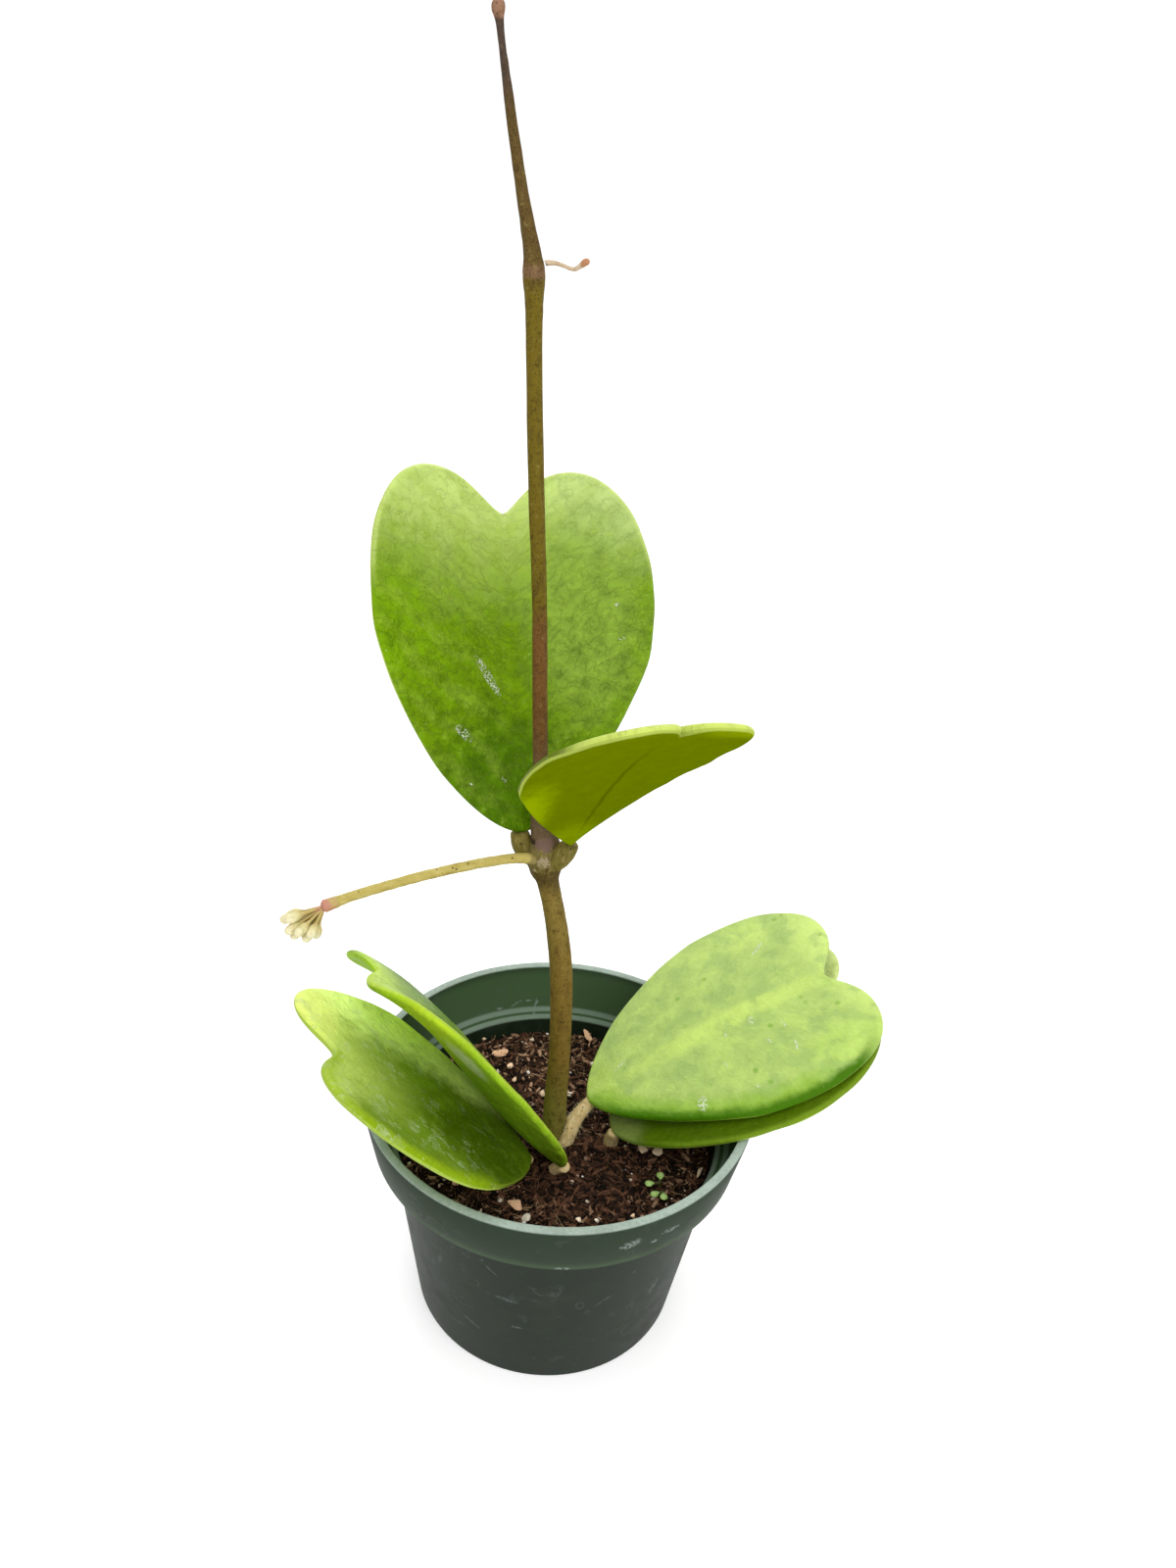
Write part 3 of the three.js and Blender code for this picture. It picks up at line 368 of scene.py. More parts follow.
class Finish:
    """A Principled material that is built up node by node; body is its colour so far."""

    def __init__(self, name, **fixed):
        self.body = None
        self.material = bpy.data.materials.new(name)
        self.material.use_nodes = True
        self.tree = self.material.node_tree
        self.shader = self.tree.nodes["Principled BSDF"]
        for socket, value in fixed.items():
            self.shader.inputs[socket.replace("_", " ").title().replace("Ior", "IOR")].default_value = value

    def node(self, kind, settings=None, inputs=None, output=0):
        made = self.tree.nodes.new("ShaderNode" + kind)
        for key, value in (settings or {}).items():
            setattr(made, key, value)
        for key, value in (inputs or {}).items():
            self.put(made.inputs[key], value)
        return Value(self, made.outputs[output])

    def put(self, socket, value):
        if isinstance(value, Value):
            self.tree.links.new(value.socket, socket)
        elif hasattr(value, "__len__") and len(value) == 3 and len(getattr(socket, "default_value", ())) == 4:
            socket.default_value = (*value, 1)
        else:
            socket.default_value = value

    def place(self):
        """Object coordinates in mm."""
        return self.toned(self.node("TexCoord", output="Object"), 1 / MM)

    def parts(self, vector):
        made = self.node("SeparateXYZ", inputs={0: vector})
        return [Value(self, socket) for socket in made.socket.node.outputs]

    def attribute(self, name, output="Vector"):
        return self.node("Attribute", {"attribute_name": name}, output=output)

    def noise(self, vector, scale, detail=3.0, roughness=0.5):
        inputs = {"Vector": vector, "Scale": scale, "Detail": detail, "Roughness": roughness}
        return self.node("TexNoise", inputs=inputs)

    def cells(self, vector, scale):
        """Distance to the nearest of many random points."""
        return self.node("TexVoronoi", inputs={"Vector": vector, "Scale": scale}, output="Distance")

    def stretched(self, vector, **inputs):
        return self.node("Mapping", inputs={"Vector": vector, **inputs})

    def distance(self, vector, point):
        return self.node("VectorMath", {"operation": "DISTANCE"}, {0: vector, 1: point}, output=1)

    def oval(self, across, along, x, y, length, width, turn):
        """0 at the middle of a turned oval, 1 on its rim and rising as a square; in mm and degrees."""
        cos, sin = math.cos(math.radians(turn)), math.sin(math.radians(turn))
        ahead = ((across - x) * cos + (along - y) * sin) / length
        beside = ((along - y) * cos - (across - x) * sin) / width
        return ahead * ahead + beside * beside

    def warped(self, vector, scale, reach):
        """A place that strays by up to half its reach, for patterns with irregular outlines."""
        stray = self.node("TexNoise", inputs={"Vector": vector, "Scale": scale}, output=1)
        return self.node("VectorMath", {"operation": "ADD"}, {0: vector, 1: self.toned(stray, reach)})

    def mix(self, first, second, share):
        inputs = {"Factor": share, 6: first, 7: second}
        return self.node("Mix", {"data_type": "RGBA"}, inputs, output=2)

    def toned(self, colour, strength):
        """A colour or vector times a number that can vary over the piece."""
        return self.node("VectorMath", {"operation": "SCALE"}, {0: colour, "Scale": strength})

    def lay(self, colour, share):
        """Lays a colour over the body, to a share from 0 to 1 that varies over the piece."""
        self.body = self.mix(self.body, colour, share)

    def dab(self, place, dabs, stray):
        """Lays ragged dabs over the body: each is a colour, a place and a reach."""
        for colour, x, y, z, reach in dabs:
            gap = self.distance(place, (x, y, z))
            self.lay(colour, ((gap + stray) / reach).step(1.0, 0.7) * 0.85)

    def colour(self):
        self.put(self.shader.inputs["Base Color"], self.toned(self.body, ALBEDO))

    def roughness(self, value):
        self.put(self.shader.inputs["Roughness"], value)

    def relief(self, height, depth):
        """Bumps of a height in mm."""
        inputs = {"Height": height, "Distance": depth * MM, "Strength": 1.0}
        self.put(self.shader.inputs["Normal"], self.node("Bump", inputs=inputs))


def clear_selection():
    if bpy.context.object and bpy.context.object.mode != "OBJECT":
        bpy.ops.object.mode_set(mode="OBJECT")
    bpy.ops.object.select_all(action="DESELECT")


def choose(piece):
    clear_selection()
    piece.select_set(True)
    bpy.context.view_layer.objects.active = piece


@contextmanager
def editing(select=None, kind=None):
    """Edit mode on the active piece, with all or none of it selected first where that is asked."""
    bpy.ops.object.mode_set(mode="EDIT")
    if kind:
        bpy.ops.mesh.select_mode(type=kind)
    if select:
        bpy.ops.mesh.select_all(action=select)
    yield
    bpy.ops.object.mode_set(mode="OBJECT")


def choose_edges(piece, wanted):
    """Selects only the edges of a piece whose two ends pass a test."""
    with editing(kind="EDGE"):
        bpy.ops.mesh.select_all(action="DESELECT")
    corners = piece.data.vertices
    for edge in piece.data.edges:
        edge.select = wanted(*(corners[index].co for index in edge.vertices))


def add_modifier(piece, name, kind, **settings):
    modifier = piece.modifiers.new(name, kind)
    for key, value in settings.items():
        setattr(modifier, key, value)


def heave(piece, name, grain, depth, **settings):
    """Moves a piece's surface in and out by a cloudy pattern with grains of a size in mm."""
    clouds = bpy.data.textures.new(name, "CLOUDS")
    clouds.noise_scale = grain * MM
    clouds.noise_depth = depth
    add_modifier(piece, name, "DISPLACE", texture=clouds, texture_coords="LOCAL", **settings)


def apply_all(piece):
    choose(piece)
    for modifier in list(piece.modifiers):
        bpy.ops.object.modifier_apply(modifier=modifier.name)


def settle(piece, name, finishes, nodes=()):
    """Names a finished piece, gives it its finishes and makes it ride with the part."""
    choose(piece)
    bpy.ops.object.transform_apply(location=True, rotation=True, scale=True)
    piece.name = name
    piece.data.name = name
    if finishes:
        piece.data.materials.clear()
        for finish in finishes:
            piece.data.materials.append(finish.material)
    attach(piece, "root")
    if nodes:
        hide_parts(*nodes)
    clear_selection()
    return piece


def finer_copy(node, levels):
    """A copy of a CAD node with its loose triangles merged into quads and rounded by subdivision."""
    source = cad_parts[node]
    piece = bpy.data.objects.new(node + "_fine", source.data.copy())
    bpy.context.scene.collection.objects.link(piece)
    choose(piece)
    if piece.data.has_custom_normals:
        bpy.ops.mesh.customdata_custom_splitnormals_clear()
    with editing("SELECT"):
        bpy.ops.mesh.remove_doubles(threshold=0.01 * MM)
        bpy.ops.mesh.tris_convert_to_quads(face_threshold=math.radians(50), shape_threshold=math.radians(70))
    if levels:
        add_modifier(piece, "rounding", "SUBSURF", levels=levels, render_levels=levels)
    return piece


def positions(mesh):
    co = np.zeros(len(mesh.vertices) * 3)
    mesh.vertices.foreach_get("co", co)
    return co.reshape(-1, 3)


def leaf_axes(leaf):
    azimuth, rise, roll = (math.radians(leaf[key]) for key in ("azimuth", "rise", "roll"))
    heading = Vector((math.cos(rise) * math.cos(azimuth), math.cos(rise) * math.sin(azimuth), math.sin(rise)))
    side = Vector((-math.sin(azimuth), math.cos(azimuth), 0))
    side.rotate(Matrix.Rotation(roll, 3, heading))
    return np.array(heading), np.array(side), np.array(heading.cross(side))


def leaf_outline(leaf, steps):
    """Half of a heart from foot round lobe to notch, in shares of half its width and its length."""
    widest, lobe, notch = leaf["widest"], leaf["lobe"], leaf["notch"]
    curves = (
        ((0, 0), (leaf["foot_out"], leaf["foot_up"]), (1, widest - leaf["full_below"]), (1, widest)),
        ((1, widest), (1, widest + leaf["full_above"]), (lobe + (1 - lobe) * 0.6, 1), (lobe, 1)),
        ((lobe, 1), (lobe * 0.45, 1), (leaf["notch_out"], notch + leaf["notch_up"]), (0, notch)),
    )
    share = np.linspace(0, 1, steps + 1)[:, None]
    parts = []
    for start, pull_out, pull_in, end in curves:
        a, b, c, d = (np.array(point, float) for point in (start, pull_out, pull_in, end))
        rest = 1 - share
        curve = a * rest ** 3 + 3 * b * rest ** 2 * share + 3 * c * rest * share ** 2 + d * share ** 3
        parts.append(curve if not parts else curve[1:])
    return np.concatenate(parts)


def leaf_depths(run, columns):
    """Distances in mm from the margin to the midrib, close together where the edge is rounded."""
    near = np.array((0.0, 0.12, 0.35, 0.7, 1.1, 1.6, LEAF_EDGE_ROUND))
    inner = np.linspace(0, 1, columns - len(near) + 2)[1:]
    squeeze = min(1.0, run / (2 * LEAF_EDGE_ROUND))
    near = near * squeeze
    return np.concatenate((near, near[-1] + inner * (run - near[-1])))


def leaf_heights(leaf, chart, rim_share):
    """How far each point of a blade is bent out of its plane, in mm: bends, folds and a rippled margin."""
    length, half = leaf["length"], leaf["width"] / 2
    t, u = chart[:, 1] / length, chart[:, 0] / half
    height = length * (leaf["bend"] * t ** 2 + leaf["tip_bend"] * t ** 4)
    folded = np.sqrt(u ** 2 + FOLD_ROUND) - math.sqrt(FOLD_ROUND)
    height += half * ((leaf["fold"] + leaf["fold_tip"] * t ** 2) * folded + leaf["cup"] * u ** 2)
    height += half * (leaf["skew"] * u ** 3 + leaf["twist"] * u * t + leaf["lobe_bend"] * u ** 2 * t ** 2)
    height += half * leaf["lobe_skew"] * u ** 3 * t ** 3
    way_round = np.arctan2(chart[:, 0], chart[:, 1] - length / 2)
    ripple = sum(np.sin(way_round * beat + beat * beat + length) * size for beat, size in LEAF_RIPPLES)
    return height + rim_share ** 3 * ripple * (1 - np.exp(-chart[:, 1] / 12))


def grown_leaf(leaf, steps, columns):
    """A heart-shaped blade with a rounded margin; its attribute holds across, along and edge in mm."""
    outline = leaf_outline(leaf, steps)
    rows = len(outline) - 1
    bpy.ops.mesh.primitive_grid_add(x_subdivisions=2 * columns, y_subdivisions=rows, size=2)
    blade = bpy.context.object
    mesh = blade.data
    flat = positions(mesh)
    column = np.rint(flat[:, 0] * columns).astype(int)
    row = np.rint((flat[:, 1] + 1) / 2 * rows).astype(int)
    length, half = leaf["length"], leaf["width"] / 2
    chart = np.zeros((len(flat), 3))
    depth = np.zeros(len(flat))
    for number, (out, up) in enumerate(outline):
        rib = np.array((0, leaf["notch"] * length * number / rows))
        for sign in (-1, 1):
            rim_out = sign * out * half * (1 + sign * leaf["lean"])
            rim = np.array((rim_out, up * length * (1 + sign * leaf["uneven"] * out)))
            beats = up * 2 + sign
            swing = sum(math.sin(beats * beat + out * 3 + length) * size for beat, size in LEAF_RIPPLES)
            rim[0] += sign * swing * out
            run = math.dist(rim, rib)
            depths = leaf_depths(run, columns)
            for index in np.nonzero((row == number) & (column * sign >= 0))[0]:
                depth[index] = depths[columns - abs(column[index])]
                share = depth[index] / run if run > 1e-6 else 0
                chart[index, :2] = rim + (rib - rim) * share
    height = leaf_heights(leaf, chart, np.abs(column) / columns)
    heading, side, up_way = leaf_axes(leaf)
    place = np.array(leaf["foot"]) + np.outer(chart[:, 1], heading) + np.outer(chart[:, 0], side)
    place += np.outer(height, up_way)
    mesh.vertices.foreach_set("co", (place * MM).ravel())
    edges = chart[np.abs(column) == columns, :2]
    for index in range(len(chart)):
        chart[index, 2] = np.hypot(*(edges - chart[index, :2]).T).min()
    layer = mesh.attributes.new("leaf", "FLOAT_VECTOR", "POINT")
    layer.data.foreach_set("vector", chart.ravel())
    full = np.sqrt(1 - (1 - np.clip(depth / LEAF_EDGE_ROUND, 0, 1)) ** 2)
    group = blade.vertex_groups.new(name="thickness")
    for index, weight in enumerate(full):
        group.add([index], float(weight), "REPLACE")
    with editing("SELECT"):
        bpy.ops.mesh.remove_doubles(threshold=0.01 * MM)
        bpy.ops.mesh.flip_normals()
    return blade


def leaf_marks(finish, chart, across, along, marks):
    """Strength of the dry scars on a blade side, which on the inner leaf's underside include a painted wet
    highlight.
    """
    ragged = finish.noise(chart, 0.8, 3.0, 0.6) - 0.5
    beads = finish.cells(chart, 1.5).step(0.62, 0.4)
    total = None
    for mark in marks:
        scar = (finish.oval(across, along, *mark) + ragged * 1.6).step(1.2, 0.6) * beads
        total = scar if total is None else total.most(scar)
    return total


def leaf_finish(name, look, marks):
    """Waxy blade side: body, washes and rims, some of which paint sheen, light and shade, mottling that is
    partly painted shade and light of the quilting, fine wrinkles that follow the side veins, and scars, on
    one underside a painted wet highlight.
    """
    finish = Finish(
        name, ior=1.45, specular_ior_level=look.get("sheen", 0.18), specular_tint=(0.9, 1, 0.4, 1),
        subsurface_weight=0.08, subsurface_scale=0.002, subsurface_radius=(0.6, 1.0, 0.1),
    )
    across, along, edge = finish.parts(finish.attribute("leaf"))
    chart = finish.node("CombineXYZ", inputs={"X": across, "Y": along})
    half = finish.node("CombineXYZ", inputs={"X": across.size(), "Y": along})
    veined = finish.node("Mapping", {"vector_type": "TEXTURE"},
                         {"Vector": half, "Rotation": (0, 0, math.radians(42)), "Scale": (1.9, 1, 1)})
    broad = finish.noise(chart, 0.05, 3.0)
    medium = finish.noise(chart, 0.15, 4.0, 0.6)
    grain = finish.noise(chart, 0.9, 3.0, 0.65)
    wrinkle = finish.noise(veined, 0.3, 4.0, 0.62)
    lines = (finish.noise(veined, 0.2, 5.0, 0.6) - 0.5).size().step(0.035, 0.0)
    wander = (medium - 0.5) * 0.7 + (grain - 0.5) * 0.12
    finish.body = look["body"]
    for colour, x, y, wide, long, cover in look["washes"]:
        aside, ahead = (across - x) / wide, (along - y) / long
        reach = (aside * aside + ahead * ahead) ** 0.5 + wander
        finish.lay(colour, reach.step(1.0, 0.35) * cover)
    strong = look["quilt"]
    puckered = finish.noise(finish.warped(chart, 0.12, 5.0), 0.22, 2.0)
    # The mottling is partly the leaf's own and partly painted shade and light of the quilted puckers: it
    # darkens and lightens the body by much the same patterns as the relief, deeper in the hollows and paler
    # on the rises
    uneven = (medium - 0.5) * 1.3 + (wrinkle - 0.5) * 0.5 + (puckered - 0.5) * 0.4 + (grain - 0.5) * 0.3
    calm = along.step(60, 115) * look.get("calm", 0)
    finish.body = finish.toned(finish.body, uneven * (0.15 + 0.8 * strong) * (1 - calm) + 1)
    cover = 0.05 + 0.35 * strong
    sunken = (medium * 0.6 + wrinkle * 0.4).step(0.46, 0.3)
    finish.lay(look["deep"], sunken * cover * (1 - calm))
    raised = (medium * 0.4 + wrinkle * 0.6).step(0.54, 0.68)
    finish.lay(look["pale"], raised * cover)
    finish.lay(look["pale"], lines * look.get("lines", 0.2) * broad.step(0.35, 0.55))
    if look.get("cloud"):
        blotch = finish.noise(finish.warped(chart, 0.2, 6.0), 0.11, 2.0)
        finish.lay(look["deep"], blotch.step(0.5, 0.36) * look["cloud"])
        finish.lay(look["pale"], blotch.step(0.52, 0.66) * look["cloud"])
    for colour, side, start, end, width, cover in look["rims"]:
        rim = (edge + (medium - 0.5) * width * 0.7).step(width, width * 0.25) * cover
        if start > 0:
            rim = rim * along.step(start - 8, start + 8)
        if end < 120:
            rim = rim * along.step(end + 8, end - 8)
        finish.lay(colour, rim * (across * side).step(-3, 3) if side else rim)
    if look.get("spots"):
        dots = (finish.cells(chart, 0.12) + (grain - 0.5) * 0.16).step(0.2, 0.04) * broad.step(0.42, 0.55)
        finish.lay((0.2, 0.42, 0.04), dots * look["spots"])
    if look.get("rib"):
        rib = (across + (medium - 0.5) * 2).size().step(1.1, 0.3) * (along.step(8, 30) * along.step(96, 60))
        finish.lay([c * 0.5 for c in look["deep"]], rib * look["rib"])
    height = (wrinkle * 0.5 + medium * 0.6 + puckered + grain * 0.1 + lines * 0.15) * (1 - calm * 0.8)
    if look.get("veins"):
        order = (along - across.size() * 0.8) * (math.tau / VEIN_SPACING)
        vein = (order + (broad - 0.5) * 8 + (medium - 0.5) * 3).wave().step(-0.2, 1.0)
        vein = vein * across.size().step(1.0, 10.0) * medium.step(0.35, 0.55)
        finish.lay(look["pale"], vein * look["veins"])
        height = height + vein * 0.2
    gloss = grain * 0.12 + 0.4
    if look.get("water"):
        strayed = finish.warped(chart, 0.25, 5.0)
        patch = finish.noise(chart, 0.05, 2.0).step(0.44, 0.56)
        for scale, size in ((0.13, 0.32), (0.2, 0.26)):
            distance = finish.cells(strayed, scale)
            ring = (distance - size).size().step(0.035, 0.008)
            film = distance.step(size, size - 0.05)
            finish.lay((0.56, 0.68, 0.4), (ring * 0.4 + film * 0.12) * patch * along.step(10, 60))
        fleck = finish.cells(chart, 0.45).step(0.12, 0.05) * finish.noise(chart, 0.1).step(0.45, 0.55)
        finish.lay((0.8, 0.88, 0.6), fleck * 0.75)
    speck = finish.cells(chart, 0.24).step(0.06, 0.025)
    finish.lay((0.72, 0.84, 0.45), speck * 0.5)
    if marks:
        # Scars, and on the inner leaf's underside a painted wet highlight, laid pale and glossier
        scars_and_highlight = leaf_marks(finish, chart, across, along, marks)
        finish.lay((0.8, 0.9, 0.64), scars_and_highlight * 0.9)
        height = height + scars_and_highlight * 0.25
        gloss = gloss + scars_and_highlight * 0.3
    finish.colour()
    finish.roughness(gloss)
    finish.relief(height, 0.4 + 1.15 * strong)
    return finish


def bark_finish(
    name, base, light, dark, speck_size=0.55, relief=0.12, heathered=0.6, grain_along=(1, 1, 0.35), dabs=()
):
    """Bark of a stalk: two tones that run along it, dark specks and fine relief."""
    finish = Finish(name, ior=1.4, specular_ior_level=0.2)
    place = finish.place()
    streak = finish.noise(finish.stretched(place, Scale=grain_along), 0.6, 4.0, 0.6)
    grain = finish.noise(place, 2.2, 2.0, 0.7)
    finish.body = finish.mix(base, light, streak.step(0.5, 0.72) * heathered)
    finish.lay(dark, streak.step(0.46, 0.3) * heathered)
    finish.lay(dark, grain.step(0.45, 0.3) * 0.35)
    speck = finish.cells(place, speck_size).step(0.2, 0.1)
    finish.lay([c * 0.4 for c in dark], speck * 0.75)
    finish.dab(place, dabs, (grain - 0.5) * 1.5)
    finish.colour()
    finish.roughness(grain * 0.2 + 0.55)
    finish.relief(grain * 0.6 + streak * 0.4, relief)
    return finish


def vine_finish():
    """The vine's bark: greener low down, purple brown above the leaf pair and greyer at the tip."""
    finish = Finish("vine bark", ior=1.4, specular_ior_level=0.15)
    place = finish.place()
    height = finish.parts(place)[2]
    streak = finish.noise(finish.stretched(place, Scale=(1, 1, 0.3)), 0.4, 4.0, 0.6)
    blotch = finish.noise(place, 0.5, 4.0, 0.7)
    grain = finish.noise(place, 2.0, 3.0, 0.7)
    wander = height + (streak - 0.5) * 18.0
    finish.body = (0.25, 0.21, 0.04)
    for tone, low, high in VINE_TONES:
        if low == NODE_SWELLING[0]:
            dark_ring = wander.step(192, 200) * wander.step(207, 204)
            finish.lay((0.06, 0.035, 0.01), dark_ring * 0.75)
        finish.lay(tone, wander.step(low, high))
    finish.lay((0.34, 0.18, 0.11), height.step(*VINE_BALL))
    upper_ring = height.step(*VINE_RING[:2]) * height.step(*VINE_RING[2:])
    finish.lay((0.28, 0.15, 0.09), upper_ring * 0.5)
    finish.lay((0.07, 0.04, 0.008), streak.step(0.5, 0.3) * 0.5)
    finish.lay((0.055, 0.03, 0.006), blotch.step(0.48, 0.32) * 0.55)
    finish.lay((0.4, 0.32, 0.1), blotch.step(0.55, 0.75) * 0.35)
    finish.lay((0.4, 0.32, 0.12), grain.step(0.55, 0.75) * 0.3)
    speck = (finish.cells(place, 1.0) + (grain - 0.5) * 0.2).step(0.34, 0.16)
    finish.lay((0.035, 0.02, 0.006), speck * 0.55)
    finish.dab(place, VINE_SCARS, (blotch - 0.5) * 5 + (grain - 0.5) * 1.4)
    finish.colour()
    finish.roughness(grain * 0.2 + 0.55)
    finish.relief(grain * 0.5 + blotch * 0.6, 0.3)
    return finish


def pot_finish():
    """Worn dark green nursery plastic: a painted highlight along the lip, water stains, scuffs and scratches
    on the wall.
    """
    finish = Finish("pot plastic", ior=1.46, specular_ior_level=0.09)
    place = finish.place()
    x, y, z = finish.parts(place)
    broad = finish.noise(place, 0.03, 3.0)
    cloud = finish.noise(place, 0.09, 4.0, 0.6)
    fine = finish.noise(place, 0.8, 3.0, 0.6)
    finish.body = finish.mix((0.012, 0.022, 0.011), (0.018, 0.03, 0.016), cloud.step(0.35, 0.65))
    finish.lay((0.03, 0.05, 0.028), z.step(81.5, 83.0) * 0.9)
    radius = (x * x + y * y) ** 0.5
    # Painted light: the inside wall above the ledge is painted lighter than the same plastic outside
    inner = radius.step(73.9, 72.6) * z.step(83.0, 84.0)
    finish.lay((0.065, 0.12, 0.05), inner)
    dust = (broad * 0.6 + cloud * 0.4).step(0.5, 0.68)
    finish.lay((0.06, 0.062, 0.05), dust * (0.4 - inner * 0.3))
    strayed = finish.warped(place, 0.2, 5.0)
    stain = (finish.cells(strayed, 0.07) - 0.36).size().step(0.025, 0.006)
    finish.lay((0.14, 0.16, 0.14), stain * broad.step(0.54, 0.62) * 0.22)
    film = finish.noise(strayed, 0.14, 2.0).step(0.6, 0.7) * broad.step(0.44, 0.56)
    finish.lay((0.1, 0.115, 0.1), film * 0.2)
    drawn = finish.stretched(place, Rotation=(0.3, 0.5, 0.2), Scale=(1, 1, 0.25))
    scratch = finish.cells(drawn, 0.2).step(0.045, 0.02) * broad.step(0.5, 0.6)
    finish.lay((0.2, 0.23, 0.2), scratch * 0.15)
    grit = finish.cells(place, 0.35).step(0.05, 0.03)
    finish.lay((0.22, 0.25, 0.22), grit * 0.35)
    ragged = (finish.noise(place, 0.7, 3.0, 0.7) - 0.5) * 2.4
    broken = fine.step(0.42, 0.54)
    for *oval, behind in POT_SCUFFS:
        scuff = (finish.oval(x, z, *oval) + ragged).step(1.1, 0.4) * broken
        facing = y.step(-10, 10) if behind else y.step(10, -10)
        finish.lay((0.3, 0.36, 0.33), scuff * facing * (0.6 if oval[1] > 80 else 0.2))
    # Painted highlight along the top of the lip, broken up a little
    lip_highlight = (cloud * 0.5 + fine * 0.5).step(0.36, 0.6) * 0.25 + 0.75
    finish.lay((0.44, 0.54, 0.46), z.step(104.0, 104.8) * lip_highlight)
    ledge = radius.step(63.6, 64.2) * radius.step(70.5, 69.5) * z.step(82.2, 82.8) * z.step(86.0, 84.8)
    groove = (radius - 67.0).size().step(0.5, 1.0)
    finish.lay((0.26, 0.35, 0.27), ledge * groove * (fine * 0.4 + 0.6))
    finish.colour()
    finish.roughness(cloud * 0.14 + 0.42 + dust * 0.12)
    finish.relief(fine * 0.6 + cloud, 0.06)
    return finish


def toned_finish(name, dark, middle, light, roughness, relief):
    """Many small bits, each with its own tone from dark to light."""
    finish = Finish(name, ior=1.35, specular_ior_level=0.2)
    tone = finish.attribute("tone", "Fac")
    place = finish.place()
    grain = finish.noise(place, 1.6, 4.0, 0.7)
    share = tone + (grain - 0.5) * 0.35
    finish.body = finish.mix(dark, middle, share.step(0.0, 0.55))
    finish.lay(light, share.step(0.6, 1.0))
    finish.colour()
    finish.roughness(grain * 0.2 + roughness)
    finish.relief(grain, relief)
    return finish


def soil_finish():
    """Damp dark peat with reddish fibres and pale grit."""
    finish = Finish("potting mix", ior=1.35, specular_ior_level=0.2)
    place = finish.place()
    clod = finish.noise(place, 0.22, 5.0, 0.7)
    grain = finish.noise(place, 1.1, 5.0, 0.75)
    damp = (clod * 0.5 + grain * 0.5).step(0.42, 0.64)
    finish.body = finish.mix((0.004, 0.0025, 0.0015), (0.06, 0.028, 0.017), damp)
    turned = finish.stretched(place, Rotation=(0.2, 0.4, 0.9), Scale=(1, 0.2, 1))
    fibre = finish.noise(turned, 1.4, 3.0, 0.6).step(0.6, 0.68)
    finish.lay((0.15, 0.07, 0.04), fibre * 0.6)
    grit = finish.cells(place, 0.36).step(0.1, 0.04)
    finish.lay((0.5, 0.4, 0.32), grit * 0.5)
    finish.colour()
    finish.roughness(grain * 0.25 + 0.65)
    finish.relief(grain * 0.7 + clod, 1.1)
    return finish


class PotSettings(bpy.types.PropertyGroup):
    sides: IntProperty(name="Sides", description="Facets round the pot", default=128, min=32, max=256)
    band_foot: FloatProperty(
        name="Band foot", description="Height at which the rim band starts", default=82.4 * MM, unit="LENGTH")
    lip_width: FloatProperty(
        name="Lip width", description="Thickness of the rim's lip", default=3.6 * MM, unit="LENGTH")


class SoilSettings(bpy.types.PropertyGroup):
    crumbs: IntProperty(name="Crumbs", description="Loose crumbs on the soil", default=7200, min=0, max=9000)
    grit: IntProperty(name="Grit", description="Pale grains on the soil", default=260, min=0, max=1000)
    fibres: IntProperty(name="Fibres", description="Loose fibres on the soil", default=2200, min=0, max=3000)
    roughness: FloatProperty(
        name="Unevenness", description="Height of the soil's clods", default=1.6 * MM, unit="LENGTH")


class LeafSettings(bpy.types.PropertyGroup):
    steps: IntProperty(
        name="Outline steps", description="Steps on each curve of the outline", default=36, min=6, max=60)
    columns: IntProperty(
        name="Columns", description="Columns of faces from margin to midrib", default=26, min=10, max=40)


class StemSettings(bpy.types.PropertyGroup):
    detail: IntProperty(name="Detail", description="Subdivision of each stem", default=2, min=0, max=3)
    wrinkle: FloatProperty(
        name="Wrinkle", description="Depth of the bark's wrinkles", default=0.35 * MM, unit="LENGTH")
    hairs: IntProperty(
        name="Hairs", description="Fine hairs on the hairy leaf stalk", default=420, min=0, max=1000)
    upper_girth: FloatProperty(
        name="Upper girth", description="How much the upper leaf stalks swell into the node", default=1.6,
        min=1, max=2)
    lower_girth: FloatProperty(
        name="Lower girth", description="How much thicker the corky lower leaf stalks are", default=1.3,
        min=1, max=2)


class StageSettings(bpy.types.PropertyGroup):
    floor: FloatVectorProperty(
        name="Floor", description="Colour of the floor", subtype="COLOR", default=(0.92, 0.92, 0.92),
        min=0, max=1)
    key: FloatProperty(name="Key light", description="Power of the key light", default=10.88, unit="POWER")
    sky: FloatProperty(name="Sky", description="Strength of the light all round", default=0.6144)
    glow: FloatProperty(name="Glow", description="Light that the white backdrop gives off", default=0.4)


def turned_wall(stations, sides):
    """A round solid from rings of radius and height, extruded and scaled one from another."""
    radius, height = stations[0]
    bpy.ops.mesh.primitive_circle_add(
        vertices=sides, radius=radius, fill_type="TRIFAN", location=(0, 0, height))
    piece = bpy.context.object
    with editing("DESELECT", "EDGE"):
        bpy.ops.mesh.select_non_manifold()
        for next_radius, next_height in stations[1:]:
            bpy.ops.mesh.extrude_edges_move(TRANSFORM_OT_translate={"value": (0, 0, next_height - height)})
            scale = next_radius / radius
            bpy.ops.transform.resize(value=(scale, scale, 1), center_override=(0, 0, next_height))
            radius, height = next_radius, next_height
        bpy.ops.mesh.merge(type="CENTER")
        bpy.ops.mesh.select_all(action="SELECT")
        bpy.ops.mesh.normals_make_consistent(inside=False)
    return piece


